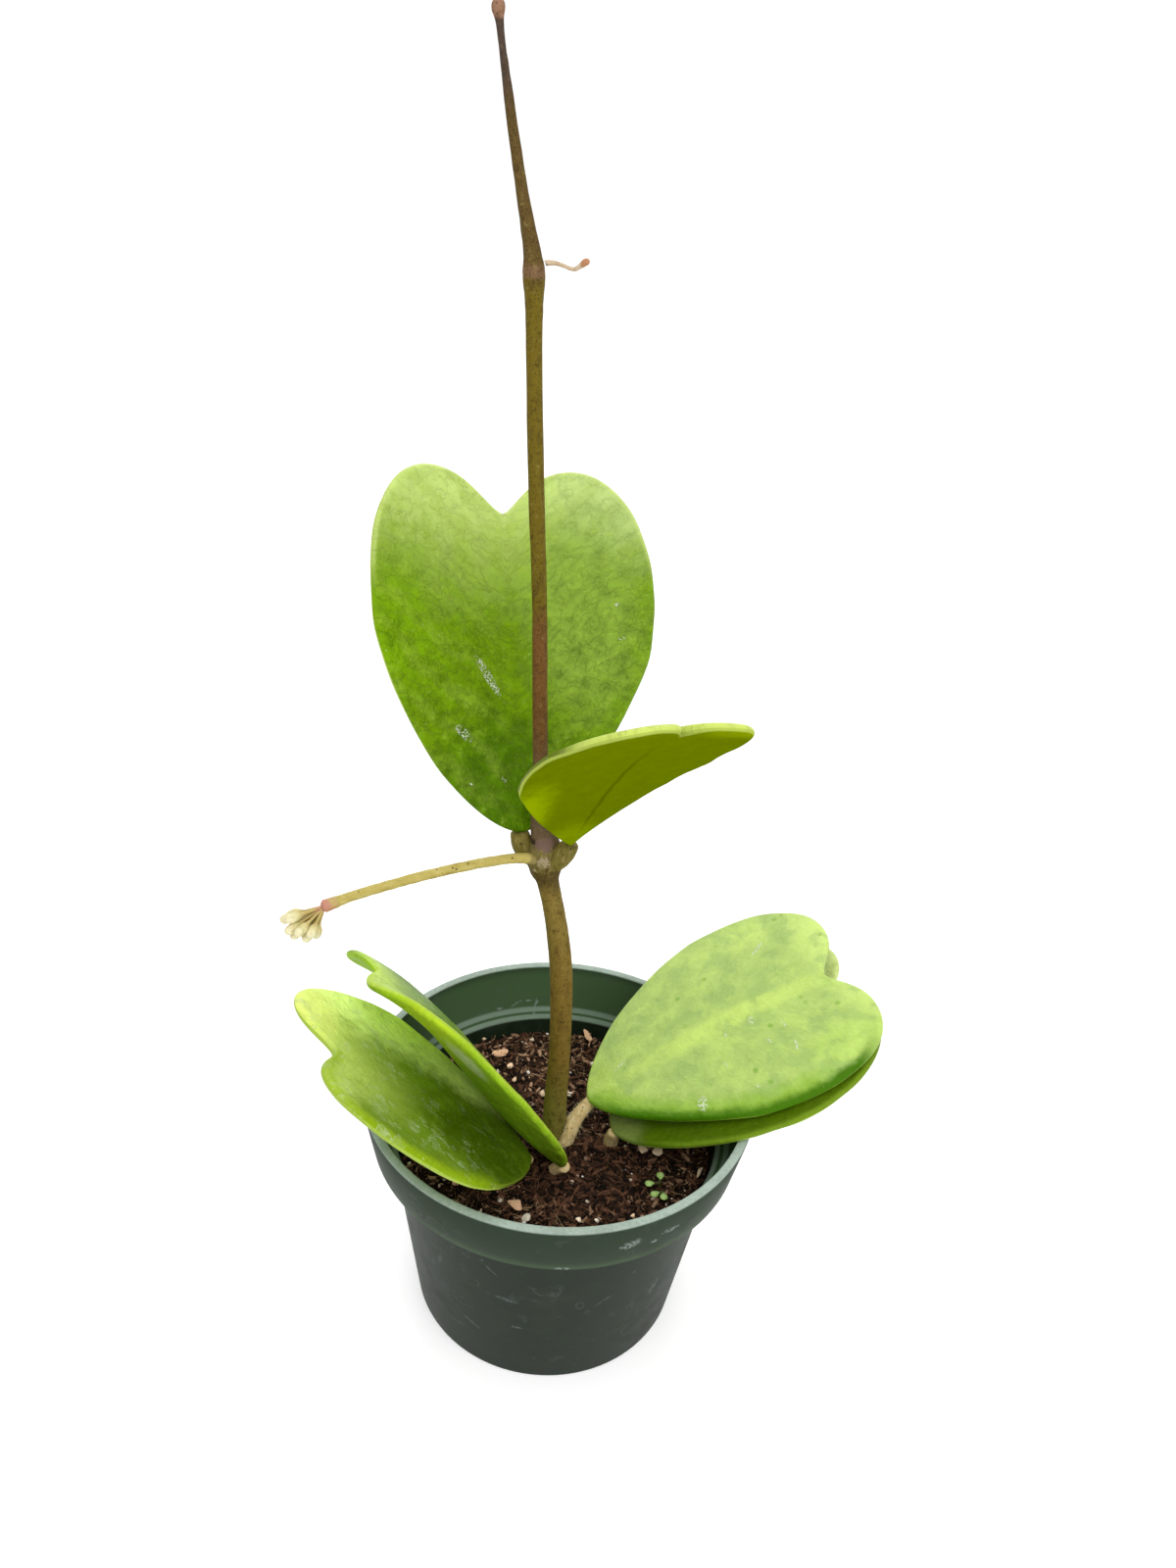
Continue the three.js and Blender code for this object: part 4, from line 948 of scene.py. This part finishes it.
class HOYA_OT_pot(bpy.types.Operator):
    """Turns the nursery pot with its band, lip, inner ledge and drain holes."""
    bl_idname = "hoya.pot"
    bl_label = "Pot"

    def execute(self, context):
        clear_selection()
        settings = context.scene.hoya_pot
        top_radius, top = POT_HIGH.x / MM, POT_HIGH.z / MM
        band, lip = settings.band_foot / MM, settings.lip_width / MM
        base_radius, body_radius, band_radius = 54.5, 66, 73.1
        wall, floor = 1.6, 2.2
        holes, hole_radius, hole_ring = 8, 5 * MM, 42 * MM
        inner_slope = (body_radius - base_radius) / (band - floor)

        def inner(height):
            return base_radius - wall + inner_slope * (height - floor)

        ledge = band + wall
        stations = [
            (base_radius - 1.4, 0), (base_radius - 0.4, 0.4), (base_radius, 1.4),
            (body_radius, band - 0.9), (body_radius + 0.25, band - 0.3), (body_radius + 0.9, band),
            (band_radius - 1, band), (band_radius - 0.3, band + 0.3), (band_radius, band + 1),
            (top_radius, top - 1.1), (top_radius - 0.3, top - 0.3), (top_radius - 1, top),
            (top_radius - lip + 0.9, top), (top_radius - lip + 0.25, top - 0.3),
            (top_radius - lip, top - 1), (band_radius - lip + 0.1, ledge + 0.8),
            (band_radius - lip - 0.5, ledge + 0.2), (inner(ledge) + 0.6, ledge - 0.3),
            (inner(band), ledge - 1), (inner(floor + 1), floor + 1), (inner(floor) - 1, floor),
        ]
        pot = turned_wall([(radius * MM, height * MM) for radius, height in stations], settings.sides)
        for number in range(holes):
            angle = 2 * math.pi * (number + 0.5) / holes
            place = (hole_ring * math.cos(angle), hole_ring * math.sin(angle), floor / 2 * MM)
            clear_selection()
            bpy.ops.mesh.primitive_cylinder_add(
                vertices=32, radius=hole_radius, depth=4 * floor * MM, location=place)
            drill = context.object
            add_modifier(pot, "drain", "BOOLEAN", operation="DIFFERENCE", object=drill)
            apply_all(pot)
            bpy.data.objects.remove(drill)
        settle(pot, "nursery_pot", [pot_finish()], ["pot"])
        choose(pot)
        bpy.ops.object.shade_smooth_by_angle(angle=math.radians(35))
        clear_selection()
        return {"FINISHED"}


def many_forms(name, faces, forms):
    """One mesh of many forms with the same faces, each given as its points and a tone for each point."""
    points, polygons, tones = [], [], []
    for places, shades in forms:
        polygons.extend(tuple(len(points) + index for index in face) for face in faces)
        points.extend(place[:] for place in places)
        tones.extend(shades)
    mesh = bpy.data.meshes.new(name)
    mesh.from_pydata(points, [], polygons)
    layer = mesh.attributes.new("tone", "FLOAT", "POINT")
    layer.data.foreach_set("value", np.array(tones))
    piece = bpy.data.objects.new(name, mesh)
    bpy.context.scene.collection.objects.link(piece)
    return piece


def unbent(corner):
    return corner


def loose_bits(name, shape, faces, places, tones):
    """One mesh of many copies of a small shape, each with its own place, warp and tone."""
    forms = (
        ([matrix @ Vector(warp(corner)) for corner in shape], [tone] * len(shape))
        for (matrix, warp), tone in zip(places, tones)
    )
    return many_forms(name, faces, forms)


def damp_tones(places, rng):
    """A random tone for each piece, darker where the soil stays damp."""
    spots = (np.array([place[0].translation[:2] for place in places]) / MM - DAMP_AT) / DAMP_REACH
    damp = np.exp(-spots[:, 0] ** 2 - spots[:, 1] ** 2)
    return rng.random(len(places)) ** 1.5 * (1 - 0.5 * damp)


def broken_form(rng, planes=11):
    """A function that cuts a round lump's corners back to a few random planes, as a broken chip has."""
    ways = rng.normal(size=(planes, 3))
    ways /= np.linalg.norm(ways, axis=1)[:, None]
    depths = rng.uniform(0.45, 0.8, planes)

    def cut(corner):
        facing = [(float(way @ corner), depth) for way, depth in zip(ways, depths)]
        over = [depth / max(reach, 1e-6) for reach, depth in facing if reach > 0]
        return tuple(c * min([1.0, *over]) for c in corner)

    return cut


def shape_of(piece):
    """A piece's corners and faces; the piece itself is taken away."""
    corners = [tuple(v.co) for v in piece.data.vertices]
    faces = [tuple(p.vertices) for p in piece.data.polygons]
    bpy.data.objects.remove(piece)
    return corners, faces


def rough_soil(unevenness):
    """A finer copy of the soil whose top has clods, fading out towards the pot's wall."""
    soil = finer_copy("soil", 0)
    with editing("SELECT"):
        bpy.ops.mesh.quads_convert_to_tris()
        bpy.ops.mesh.select_all(action="DESELECT")
    for face in soil.data.polygons:
        face.select = face.center.z > SOIL_TOP and face.normal.z > 0.2
    with editing(kind="FACE"):
        bpy.ops.mesh.subdivide(number_cuts=3)
    group = soil.vertex_groups.new(name="top")
    for vertex in soil.data.vertices:
        from_wall = SOIL_HIGH.x - math.hypot(vertex.co.x, vertex.co.y)
        if vertex.co.z > SOIL_TOP:
            group.add([vertex.index], min(1.0, max(0.0, from_wall / (2 * MM))), "REPLACE")
    for grain, share in ((5.0, 1.0), (1.6, 0.8)):
        heave(soil, "clods", grain, 3, vertex_group="top", strength=unevenness * share, mid_level=0.62)
    apply_all(soil)
    bpy.ops.object.shade_smooth()
    return soil


class Ground:
    """The soil's surface, on which things are strewn at random."""

    def __init__(self, soil):
        self.surface = BVHTree.FromObject(soil, bpy.context.evaluated_depsgraph_get())
        self.rng = np.random.default_rng(11)

    def drop(self, x, y):
        """Height of the soil below a point, or None over a hole or outside it."""
        hit = self.surface.ray_cast(Vector((x, y, SOIL_HIGH.z + 20 * MM)), Vector((0, 0, -1)))
        return hit[0].z if hit[0] and hit[0].z > SOIL_TOP else None

    def strewn(self, count, sizes, lift, form=(1.2, 0.9, 0.7)):
        """Random places on the soil, each with a size, a turn and a stretch of its own."""
        rng, outer = self.rng, SOIL_HIGH.x - 0.5 * MM
        places = []
        while len(places) < count:
            radius, angle = outer * math.sqrt(rng.random()), rng.uniform(0, 2 * math.pi)
            x, y = radius * math.cos(angle), radius * math.sin(angle)
            z = self.drop(x, y)
            if z is None:
                continue
            size = (sizes[0] + (sizes[1] - sizes[0]) * rng.random() ** 2.4) * MM
            turn = Matrix.Rotation(rng.uniform(0, 2 * math.pi), 4, "Z")
            tilt = Matrix.Rotation(rng.normal(0, 0.5), 4, "X")
            stretch = Matrix.Diagonal((*(size * rng.uniform(0.6, 1.4, 3) * form), 1))
            places.append((Matrix.Translation((x, y, z + size * lift)) @ turn @ tilt @ stretch, unbent))
        return places


def add_crumbs(ground, settings):
    """Dark crumbs and pale grains, each an irregular lump."""
    bpy.ops.mesh.primitive_ico_sphere_add(subdivisions=1, radius=1)
    shape = shape_of(bpy.context.object)
    places = ground.strewn(settings.crumbs, (0.26, 1.15), 0.4, (2.3, 0.75, 0.7))
    crumbs = loose_bits("crumbs", *shape, places, damp_tones(places, ground.rng))
    finish = toned_finish(
        "crumbs", (0.006, 0.0035, 0.002), (0.15, 0.068, 0.036), (0.64, 0.4, 0.24), 0.65, 0.3)
    settle(crumbs, "soil_crumbs", [finish])
    places = ground.strewn(settings.grit, (0.2, 0.9), 0.5, (1.2, 1, 0.8))
    grit = loose_bits("grit", *shape, places, ground.rng.random(len(places)))
    finish = toned_finish("grit", (0.3, 0.2, 0.14), (0.8, 0.64, 0.5), (1.28, 1.2, 1.1), 0.6, 0.2)
    settle(grit, "soil_grit", [finish])


def add_fibres(ground, settings):
    """Curled three-sided threads that lie loose on the soil."""
    bpy.ops.mesh.primitive_cylinder_add(vertices=3, radius=1, depth=2, location=(0, 0, 0))
    thread = bpy.context.object
    choose_edges(thread, lambda start, end: abs(start.z - end.z) > 1)
    with editing():
        bpy.ops.mesh.subdivide(number_cuts=3)
    shape = shape_of(thread)
    rng, places = ground.rng, []
    for matrix, _ in ground.strewn(settings.fibres, (1, 1), 0.3):
        length, width, curl = rng.uniform(1.5, 5) * MM, rng.uniform(0.06, 0.16) * MM, rng.normal(0, 1.1)
        tilt = Matrix.Rotation(math.pi / 2 + rng.normal(0, 0.3), 4, "X")
        turn = Matrix.Rotation(rng.uniform(0, 2 * math.pi), 4, "Z")

        def curled(corner, length=length, width=width, curl=curl):
            x, y, z = corner
            aside, ahead = 0.5 * (1 - math.cos(curl * z)), math.sin(curl * z) / curl
            return x * width + length * aside, y * width + 0.1 * length * z ** 2, length * ahead

        places.append((Matrix.Translation(matrix.translation) @ turn @ tilt, curled))
    fibres = loose_bits("fibres", *shape, places, damp_tones(places, rng))
    finish = toned_finish("fibres", (0.07, 0.028, 0.015), (0.26, 0.13, 0.06), (0.78, 0.56, 0.32), 0.6, 0.05)
    settle(fibres, "soil_fibres", [finish])


def add_stones(ground, label, bits, colours):
    """Broken lumps at given places, each x, y, half length, half width, half height and turn."""
    clear_selection()
    bpy.ops.mesh.primitive_ico_sphere_add(subdivisions=3, radius=1)
    shape = shape_of(bpy.context.object)
    places, tones = [], []
    for x, y, length, width, height, turn in bits:
        z = ground.drop(x * MM, y * MM)
        z = SOIL_HIGH.z - 3 * MM if z is None else z
        spin = Matrix.Rotation(math.radians(turn), 4, "Z") @ Matrix.Rotation(0.25, 4, "X")
        roll = Matrix.Rotation(ground.rng.uniform(0, 6), 4, "Z")
        scale = Matrix.Diagonal((length * MM, width * MM, height * MM, 1))
        matrix = Matrix.Translation((x * MM, y * MM, z + 0.15 * height * MM)) @ spin @ scale @ roll
        places.append((matrix, broken_form(ground.rng)))
        tones.append(ground.rng.uniform(0.5, 1.0))
    stones = loose_bits(label, *shape, places, tones)
    choose(stones)
    bpy.ops.object.shade_smooth_by_angle(angle=math.radians(24))
    settle(stones, label, [toned_finish(label, *colours, 0.6, 0.35)])


class HOYA_OT_soil(bpy.types.Operator):
    """Roughens the soil and strews it with crumbs, fibres, bark and perlite."""
    bl_idname = "hoya.soil"
    bl_label = "Soil"

    def execute(self, context):
        clear_selection()
        settings = context.scene.hoya_soil
        soil = rough_soil(settings.roughness)
        ground = Ground(soil)
        settle(soil, "potting_mix", [soil_finish()], ["soil"])
        add_crumbs(ground, settings)
        add_fibres(ground, settings)
        bark = [(x, y, length, width, 1.5, turn) for x, y, length, width, turn in BARK]
        add_stones(ground, "bark_chips", bark, ((0.44, 0.24, 0.12), (1.2, 0.74, 0.44), (1.26, 1.0, 0.72)))
        perlite = [(x, y, size, size * 0.9, size * 0.8, 30 * size) for x, y, size in PERLITE]
        add_stones(ground, "perlite", perlite, ((0.7, 0.44, 0.24), (1.26, 0.88, 0.56), (1.26, 1.14, 0.92)))
        return {"FINISHED"}


class HOYA_OT_leaves(bpy.types.Operator):
    """Rounds the six heart-shaped blades and gives each its own markings."""
    bl_idname = "hoya.leaves"
    bl_label = "Leaves"

    def execute(self, context):
        settings = context.scene.hoya_leaf
        for name, sizes in LEAVES.items():
            clear_selection()
            leaf = {**LEAF_SHAPE, **sizes}
            blade = grown_leaf(leaf, settings.steps, settings.columns)
            blade.data.materials.clear()
            for finish in (
                leaf_finish(name + " upper", LEAF_LOOKS[name], LEAF_MARKS.get(name)),
                leaf_finish(name + " under", UNDER_LOOKS[name], UNDER_MARKS.get(name)),
            ):
                blade.data.materials.append(finish.material)
            add_modifier(blade, "body", "SOLIDIFY", thickness=LEAF_THICKNESS * MM, offset=0,
                         vertex_group="thickness", thickness_vertex_group=0, material_offset=1)
            apply_all(blade)
            with editing("SELECT"):
                bpy.ops.mesh.remove_doubles(threshold=0.004 * MM)
            bpy.ops.object.shade_smooth()
            settle(blade, "blade_" + name, None, ["leaf_" + name])
        return {"FINISHED"}


def swollen(piece, low, high, girth):
    """Widens an upright stem between two heights, most of all midway."""
    middle, reach = (low + high) / 2 * MM, (high - low) / 2 * MM
    inside = [vertex for vertex in piece.data.vertices if abs(vertex.co.z - middle) < reach]
    centre = sum((vertex.co for vertex in inside), Vector()) / len(inside)
    for vertex in inside:
        share = 1 - ((vertex.co.z - middle) / reach) ** 2
        vertex.co.x += (vertex.co.x - centre.x) * (girth - 1) * share
        vertex.co.y += (vertex.co.y - centre.y) * (girth - 1) * share


def rounded_stem(node, name, finish, settings, girth=1):
    """A stem's finer copy with its bark lightly wrinkled, and thicker by a girth."""
    stem = finer_copy(node, settings.detail)
    if girth != 1:
        middle = sum((vertex.co for vertex in stem.data.vertices), Vector()) / len(stem.data.vertices)
        with editing("SELECT"):
            bpy.ops.transform.resize(value=(girth, girth, 1), center_override=middle)
    heave(stem, "wrinkles", 2.5, 2, strength=settings.wrinkle, mid_level=0.5)
    apply_all(stem)
    bpy.ops.object.shade_smooth()
    return settle(stem, name, [finish], [node])


class HOYA_OT_stems(bpy.types.Operator):
    """Rounds the vine, the leaf stalks, the flower stalk and the side shoot."""
    bl_idname = "hoya.stems"
    bl_label = "Stems"

    def execute(self, context):
        settings = context.scene.hoya_stem
        vine = rounded_stem("vine", "vine_stem", vine_finish(), settings)
        swollen(vine, *NODE_SWELLING)
        tan = bark_finish(
            "leaf stalk upper", (0.2, 0.16, 0.03), (0.4, 0.33, 0.12), (0.07, 0.055, 0.012), 0.35)
        corky = bark_finish(
            "leaf stalk lower", (0.86, 0.64, 0.3), (1.15, 0.98, 0.62), (0.32, 0.19, 0.06), 0.4, 0.5, 0.7)
        for name in LEAVES:
            upper = name.startswith("upper")
            finish, girth = (tan, settings.upper_girth) if upper else (corky, settings.lower_girth)
            stalk = rounded_stem("petiole_" + name, "stalk_" + name, finish, settings, girth)
            if name == HAIRY_STALK:
                self.add_hairs(stalk, settings.hairs)
        yellow = bark_finish(
            "flower stalk", (0.55, 0.45, 0.12), (0.78, 0.68, 0.28), (0.28, 0.19, 0.03), 0.33, 0.1,
            grain_along=(0.3, 0.6, 1), dabs=STALK_DABS)
        rounded_stem("peduncle", "flower_stalk", yellow, settings)
        pink = bark_finish(
            "side shoot", (0.66, 0.5, 0.33), (0.86, 0.72, 0.54), (0.42, 0.25, 0.14), dabs=SHOOT_DABS)
        rounded_stem("side_shoot", "young_side_shoot", pink, settings)
        return {"FINISHED"}

    def add_hairs(self, stalk, count):
        """Fine pale hairs that stand on a stalk."""
        rng = np.random.default_rng(5)
        surface = [(polygon.center.copy(), polygon.normal.copy()) for polygon in stalk.data.polygons]
        surface = [spot for spot in surface if spot[0].z > HAIRS_FROM * MM]
        clear_selection()
        bpy.ops.mesh.primitive_cone_add(vertices=3, radius1=1, depth=2, location=(0, 0, 0))
        corners, faces = shape_of(bpy.context.object)
        places = []
        for index in rng.integers(0, len(surface), count):
            foot, way = surface[index]
            way = (way + Vector(rng.normal(0, 0.35, 3))).normalized()
            length = rng.uniform(0.4, 1.0) * MM
            turn = Vector((0, 0, 1)).rotation_difference(way).to_matrix().to_4x4()
            scale = Matrix.Diagonal((0.09 * MM, 0.09 * MM, length, 1))
            places.append((Matrix.Translation(foot + way * length * 0.9) @ turn @ scale, unbent))
        hairs = loose_bits("hairs", corners, faces, places, rng.random(len(places)))
        finish = toned_finish("hairs", (0.4, 0.34, 0.16), (0.7, 0.62, 0.34), (0.9, 0.84, 0.6), 0.6, 0.0)
        settle(hairs, "stalk_hairs", [finish])


def bud_finish():
    """Waxy cream buds that turn pink towards the neck they hang from."""
    finish = Finish("buds", ior=1.4, subsurface_weight=0.15, subsurface_scale=0.002)
    reach = finish.attribute("tone", "Fac")
    grain = finish.noise(finish.place(), 0.7, 3.0)
    from_neck = (reach + (grain - 0.5) * 0.8).step(0.0, 0.32)
    finish.body = finish.mix((0.6, 0.25, 0.18), (0.55, 0.43, 0.13), from_neck)
    finish.lay((0.74, 0.66, 0.3), (reach + (grain - 0.5) * 0.3).step(0.5, 0.7))
    finish.lay((0.92, 0.86, 0.54), (reach + (grain - 0.5) * 0.4).step(0.72, 0.9))
    finish.lay((0.42, 0.36, 0.14), grain.step(0.5, 0.35) * 0.2)
    finish.colour()
    finish.roughness(grain * 0.1 + 0.45)
    finish.relief(grain, 0.1)
    return finish


def bud_girth(along):
    """Half width of a bud in mm, from its thin stalk to its round tip."""
    stalk = BUD_STALK_GIRTH * min(1, along * 8 + 0.4)
    swell = min(1, max(0, (along - 0.5) / 0.24))
    cap = max(0, (along - 0.86) / 0.14)
    return (stalk + (BUD_GIRTH - stalk) * swell * swell * (3 - 2 * swell)) * math.sqrt(max(0, 1 - cap * cap))


def neck_girth(along):
    """Half width in mm of the knob from which the buds hang."""
    return (NECK_GIRTH + 0.35 * along * along) * min(1, 2.2 * math.sqrt(max(0, 1 - along)), 6 * along + 0.4)


def along_way(corners, foot, way, length, girth):
    """Points of a round form along a way, from a ball's corners, and how far along it each is."""
    across = way.orthogonal().normalized()
    other = way.cross(across)
    points, shares = [], []
    for x, y, z in corners:
        along = (z + 1) / 2
        ring = math.hypot(x, y)
        wide = girth(along) / ring if ring > 0.01 else 0
        points.append((foot + way * (length * along) + (across * x + other * y) * wide) * MM)
        shares.append(along)
    return points, shares


class HOYA_OT_buds(bpy.types.Operator):
    """Hangs the head of club-shaped buds on the flower stalk."""
    bl_idname = "hoya.buds"
    bl_label = "Flower buds"

    def execute(self, context):
        clear_selection()
        bpy.ops.mesh.primitive_uv_sphere_add(segments=14, ring_count=20, radius=1)
        corners, faces = shape_of(context.object)
        out = (HEAD_TIP - HEAD_FROM).normalized()
        heart = HEAD_TIP + out * BUDS_AHEAD
        axis = (out + Vector((0, 0, -BUD_HANG))).normalized()
        side = Vector((0, 0, 1)).cross(axis).normalized()
        up = axis.cross(side)
        golden = math.pi * (3 - math.sqrt(5))
        forms = []
        for number in range(BUD_COUNT):
            opening = BUD_SPREAD * math.sqrt((number + 0.35) / BUD_COUNT)
            around = golden * number
            aside = side * math.cos(around) + up * math.sin(around)
            way = axis * math.cos(opening) + aside * math.sin(opening)
            length = BUD_LENGTH * (1 - 0.12 * ((number * 5) % 3))
            forms.append(along_way(corners, heart, way, length, bud_girth))
        places, shares = along_way(corners, HEAD_TIP - out * NECK_BACK, out, NECK_LENGTH, neck_girth)
        forms.append((places, [0.4 - 0.5 * share for share in shares]))
        head = many_forms("buds", faces, forms)
        choose(head)
        bpy.ops.object.shade_smooth()
        settle(head, "bud_head", [bud_finish()], ["flower_buds"])
        return {"FINISHED"}


class HOYA_OT_seedlings(bpy.types.Operator):
    """Rounds the two seedlings."""
    bl_idname = "hoya.seedlings"
    bl_label = "Seedlings"

    def execute(self, context):
        finish = Finish("seedling", ior=1.4, subsurface_weight=0.2, subsurface_scale=0.002)
        place = finish.place()
        grain = finish.noise(place, 0.8, 3.0)
        leaf = finish.mix((0.3, 0.52, 0.1), (0.5, 0.74, 0.24), grain.step(0.35, 0.6))
        finish.body = (0.07, 0.075, 0.02)
        for middle in SEEDLING_LEAVES:
            gap = finish.distance(place, middle)
            blade = finish.mix(leaf, (0.66, 0.84, 0.36), gap.step(1.3, 0.3) * 0.6)
            finish.lay(blade, gap.step(2.3, 1.9))
        finish.colour()
        finish.roughness(grain * 0.1 + 0.4)
        for node in ("seedling_rear", "seedling_front"):
            clear_selection()
            plant = finer_copy(node, 1)
            apply_all(plant)
            bpy.ops.object.shade_smooth()
            settle(plant, node + "_leaves", [finish], [node])
        return {"FINISHED"}


class HOYA_OT_stage(bpy.types.Operator):
    """Sets the pale floor with its cove, the soft lights and the camera."""
    bl_idname = "hoya.stage"
    bl_label = "Stage"

    def execute(self, context):
        clear_selection()
        settings = context.scene.hoya_stage
        floor_size, floor_ahead, wall_height, cove_round = 6, 1, 3, 1.2
        below_pot = 0.2 * MM
        bpy.ops.mesh.primitive_plane_add(size=floor_size, location=(0, -floor_ahead, -below_pot))
        floor = context.object
        bpy.ops.object.transform_apply(location=True)
        back = floor_size / 2 - floor_ahead - 0.01
        choose_edges(floor, lambda start, end: start.y > back and end.y > back)
        with editing():
            bpy.ops.mesh.extrude_edges_move(TRANSFORM_OT_translate={"value": (0, 0, wall_height)})
        add_modifier(floor, "cove", "BEVEL", width=cove_round, segments=24, limit_method="ANGLE")
        apply_all(floor)
        bpy.ops.object.shade_smooth()
        finish = Finish("floor", roughness=0.85, emission_color=(1, 1, 1, 1), emission_strength=settings.glow)
        finish.body = settings.floor[:]
        finish.colour()
        floor.data.materials.append(finish.material)
        floor.name = "floor"

        target = Vector((0, 0, 180 * MM))
        for label, place, size, share in LIGHTS:
            bpy.ops.object.light_add(type="AREA", location=place)
            light = context.object
            light.name = label
            light.data.shape = "SQUARE"
            light.data.size = size
            light.data.energy = settings.key * share
            light.rotation_euler = (target - Vector(place)).to_track_quat("-Z", "Y").to_euler()
        world = bpy.data.worlds.new("studio")
        world.use_nodes = True
        background = world.node_tree.nodes["Background"]
        background.inputs["Color"].default_value = (1, 1, 1, 1)
        background.inputs["Strength"].default_value = settings.sky
        context.scene.world = world
        context.scene.view_settings.view_transform = "Standard"

        right, up = CAMERA_RIGHT.normalized(), CAMERA_UP.normalized()
        back_way = right.cross(up)
        pose = Matrix((right, up, back_way)).transposed().to_4x4()
        pose.translation = CAMERA_AT * MM
        bpy.ops.object.camera_add()
        camera = context.object
        camera.matrix_world = pose
        camera.data.sensor_width = CAMERA_SENSOR
        camera.data.lens = CAMERA_LENS
        context.scene.camera = camera
        return {"FINISHED"}


class HOYA_PT_panel(bpy.types.Panel):
    """Lists the pieces of the potted hoya."""
    bl_idname = "HOYA_PT_panel"
    bl_label = "Potted hoya"
    bl_space_type = "VIEW_3D"
    bl_region_type = "UI"
    bl_category = "Hoya"

    def draw(self, context):
        for group, operators in PANEL_ROWS.items():
            column = self.layout.column()
            settings = getattr(context.scene, group)
            for key in settings.__annotations__:
                column.prop(settings, key)
            for operator in operators:
                column.operator(operator.bl_idname)


PANEL_ROWS = {
    "hoya_pot": (HOYA_OT_pot,),
    "hoya_soil": (HOYA_OT_soil,),
    "hoya_stem": (HOYA_OT_stems, HOYA_OT_buds, HOYA_OT_seedlings),
    "hoya_leaf": (HOYA_OT_leaves,),
    "hoya_stage": (HOYA_OT_stage,),
}
SETTINGS = {
    "hoya_pot": PotSettings,
    "hoya_soil": SoilSettings,
    "hoya_stem": StemSettings,
    "hoya_leaf": LeafSettings,
    "hoya_stage": StageSettings,
}


def register():
    for name, settings in SETTINGS.items():
        bpy.utils.register_class(settings)
        setattr(bpy.types.Scene, name, PointerProperty(type=settings))
    for operators in PANEL_ROWS.values():
        for operator in operators:
            bpy.utils.register_class(operator)
    bpy.utils.register_class(HOYA_PT_panel)


def unregister():
    bpy.utils.unregister_class(HOYA_PT_panel)
    for operators in PANEL_ROWS.values():
        for operator in operators:
            bpy.utils.unregister_class(operator)
    for name, settings in SETTINGS.items():
        delattr(bpy.types.Scene, name)
        bpy.utils.unregister_class(settings)


def main():
    register()
    bpy.ops.hoya.pot()
    bpy.ops.hoya.soil()
    bpy.ops.hoya.stems()
    bpy.ops.hoya.leaves()
    bpy.ops.hoya.buds()
    bpy.ops.hoya.seedlings()
    bpy.ops.hoya.stage()


if __name__ == "__main__":
    main()
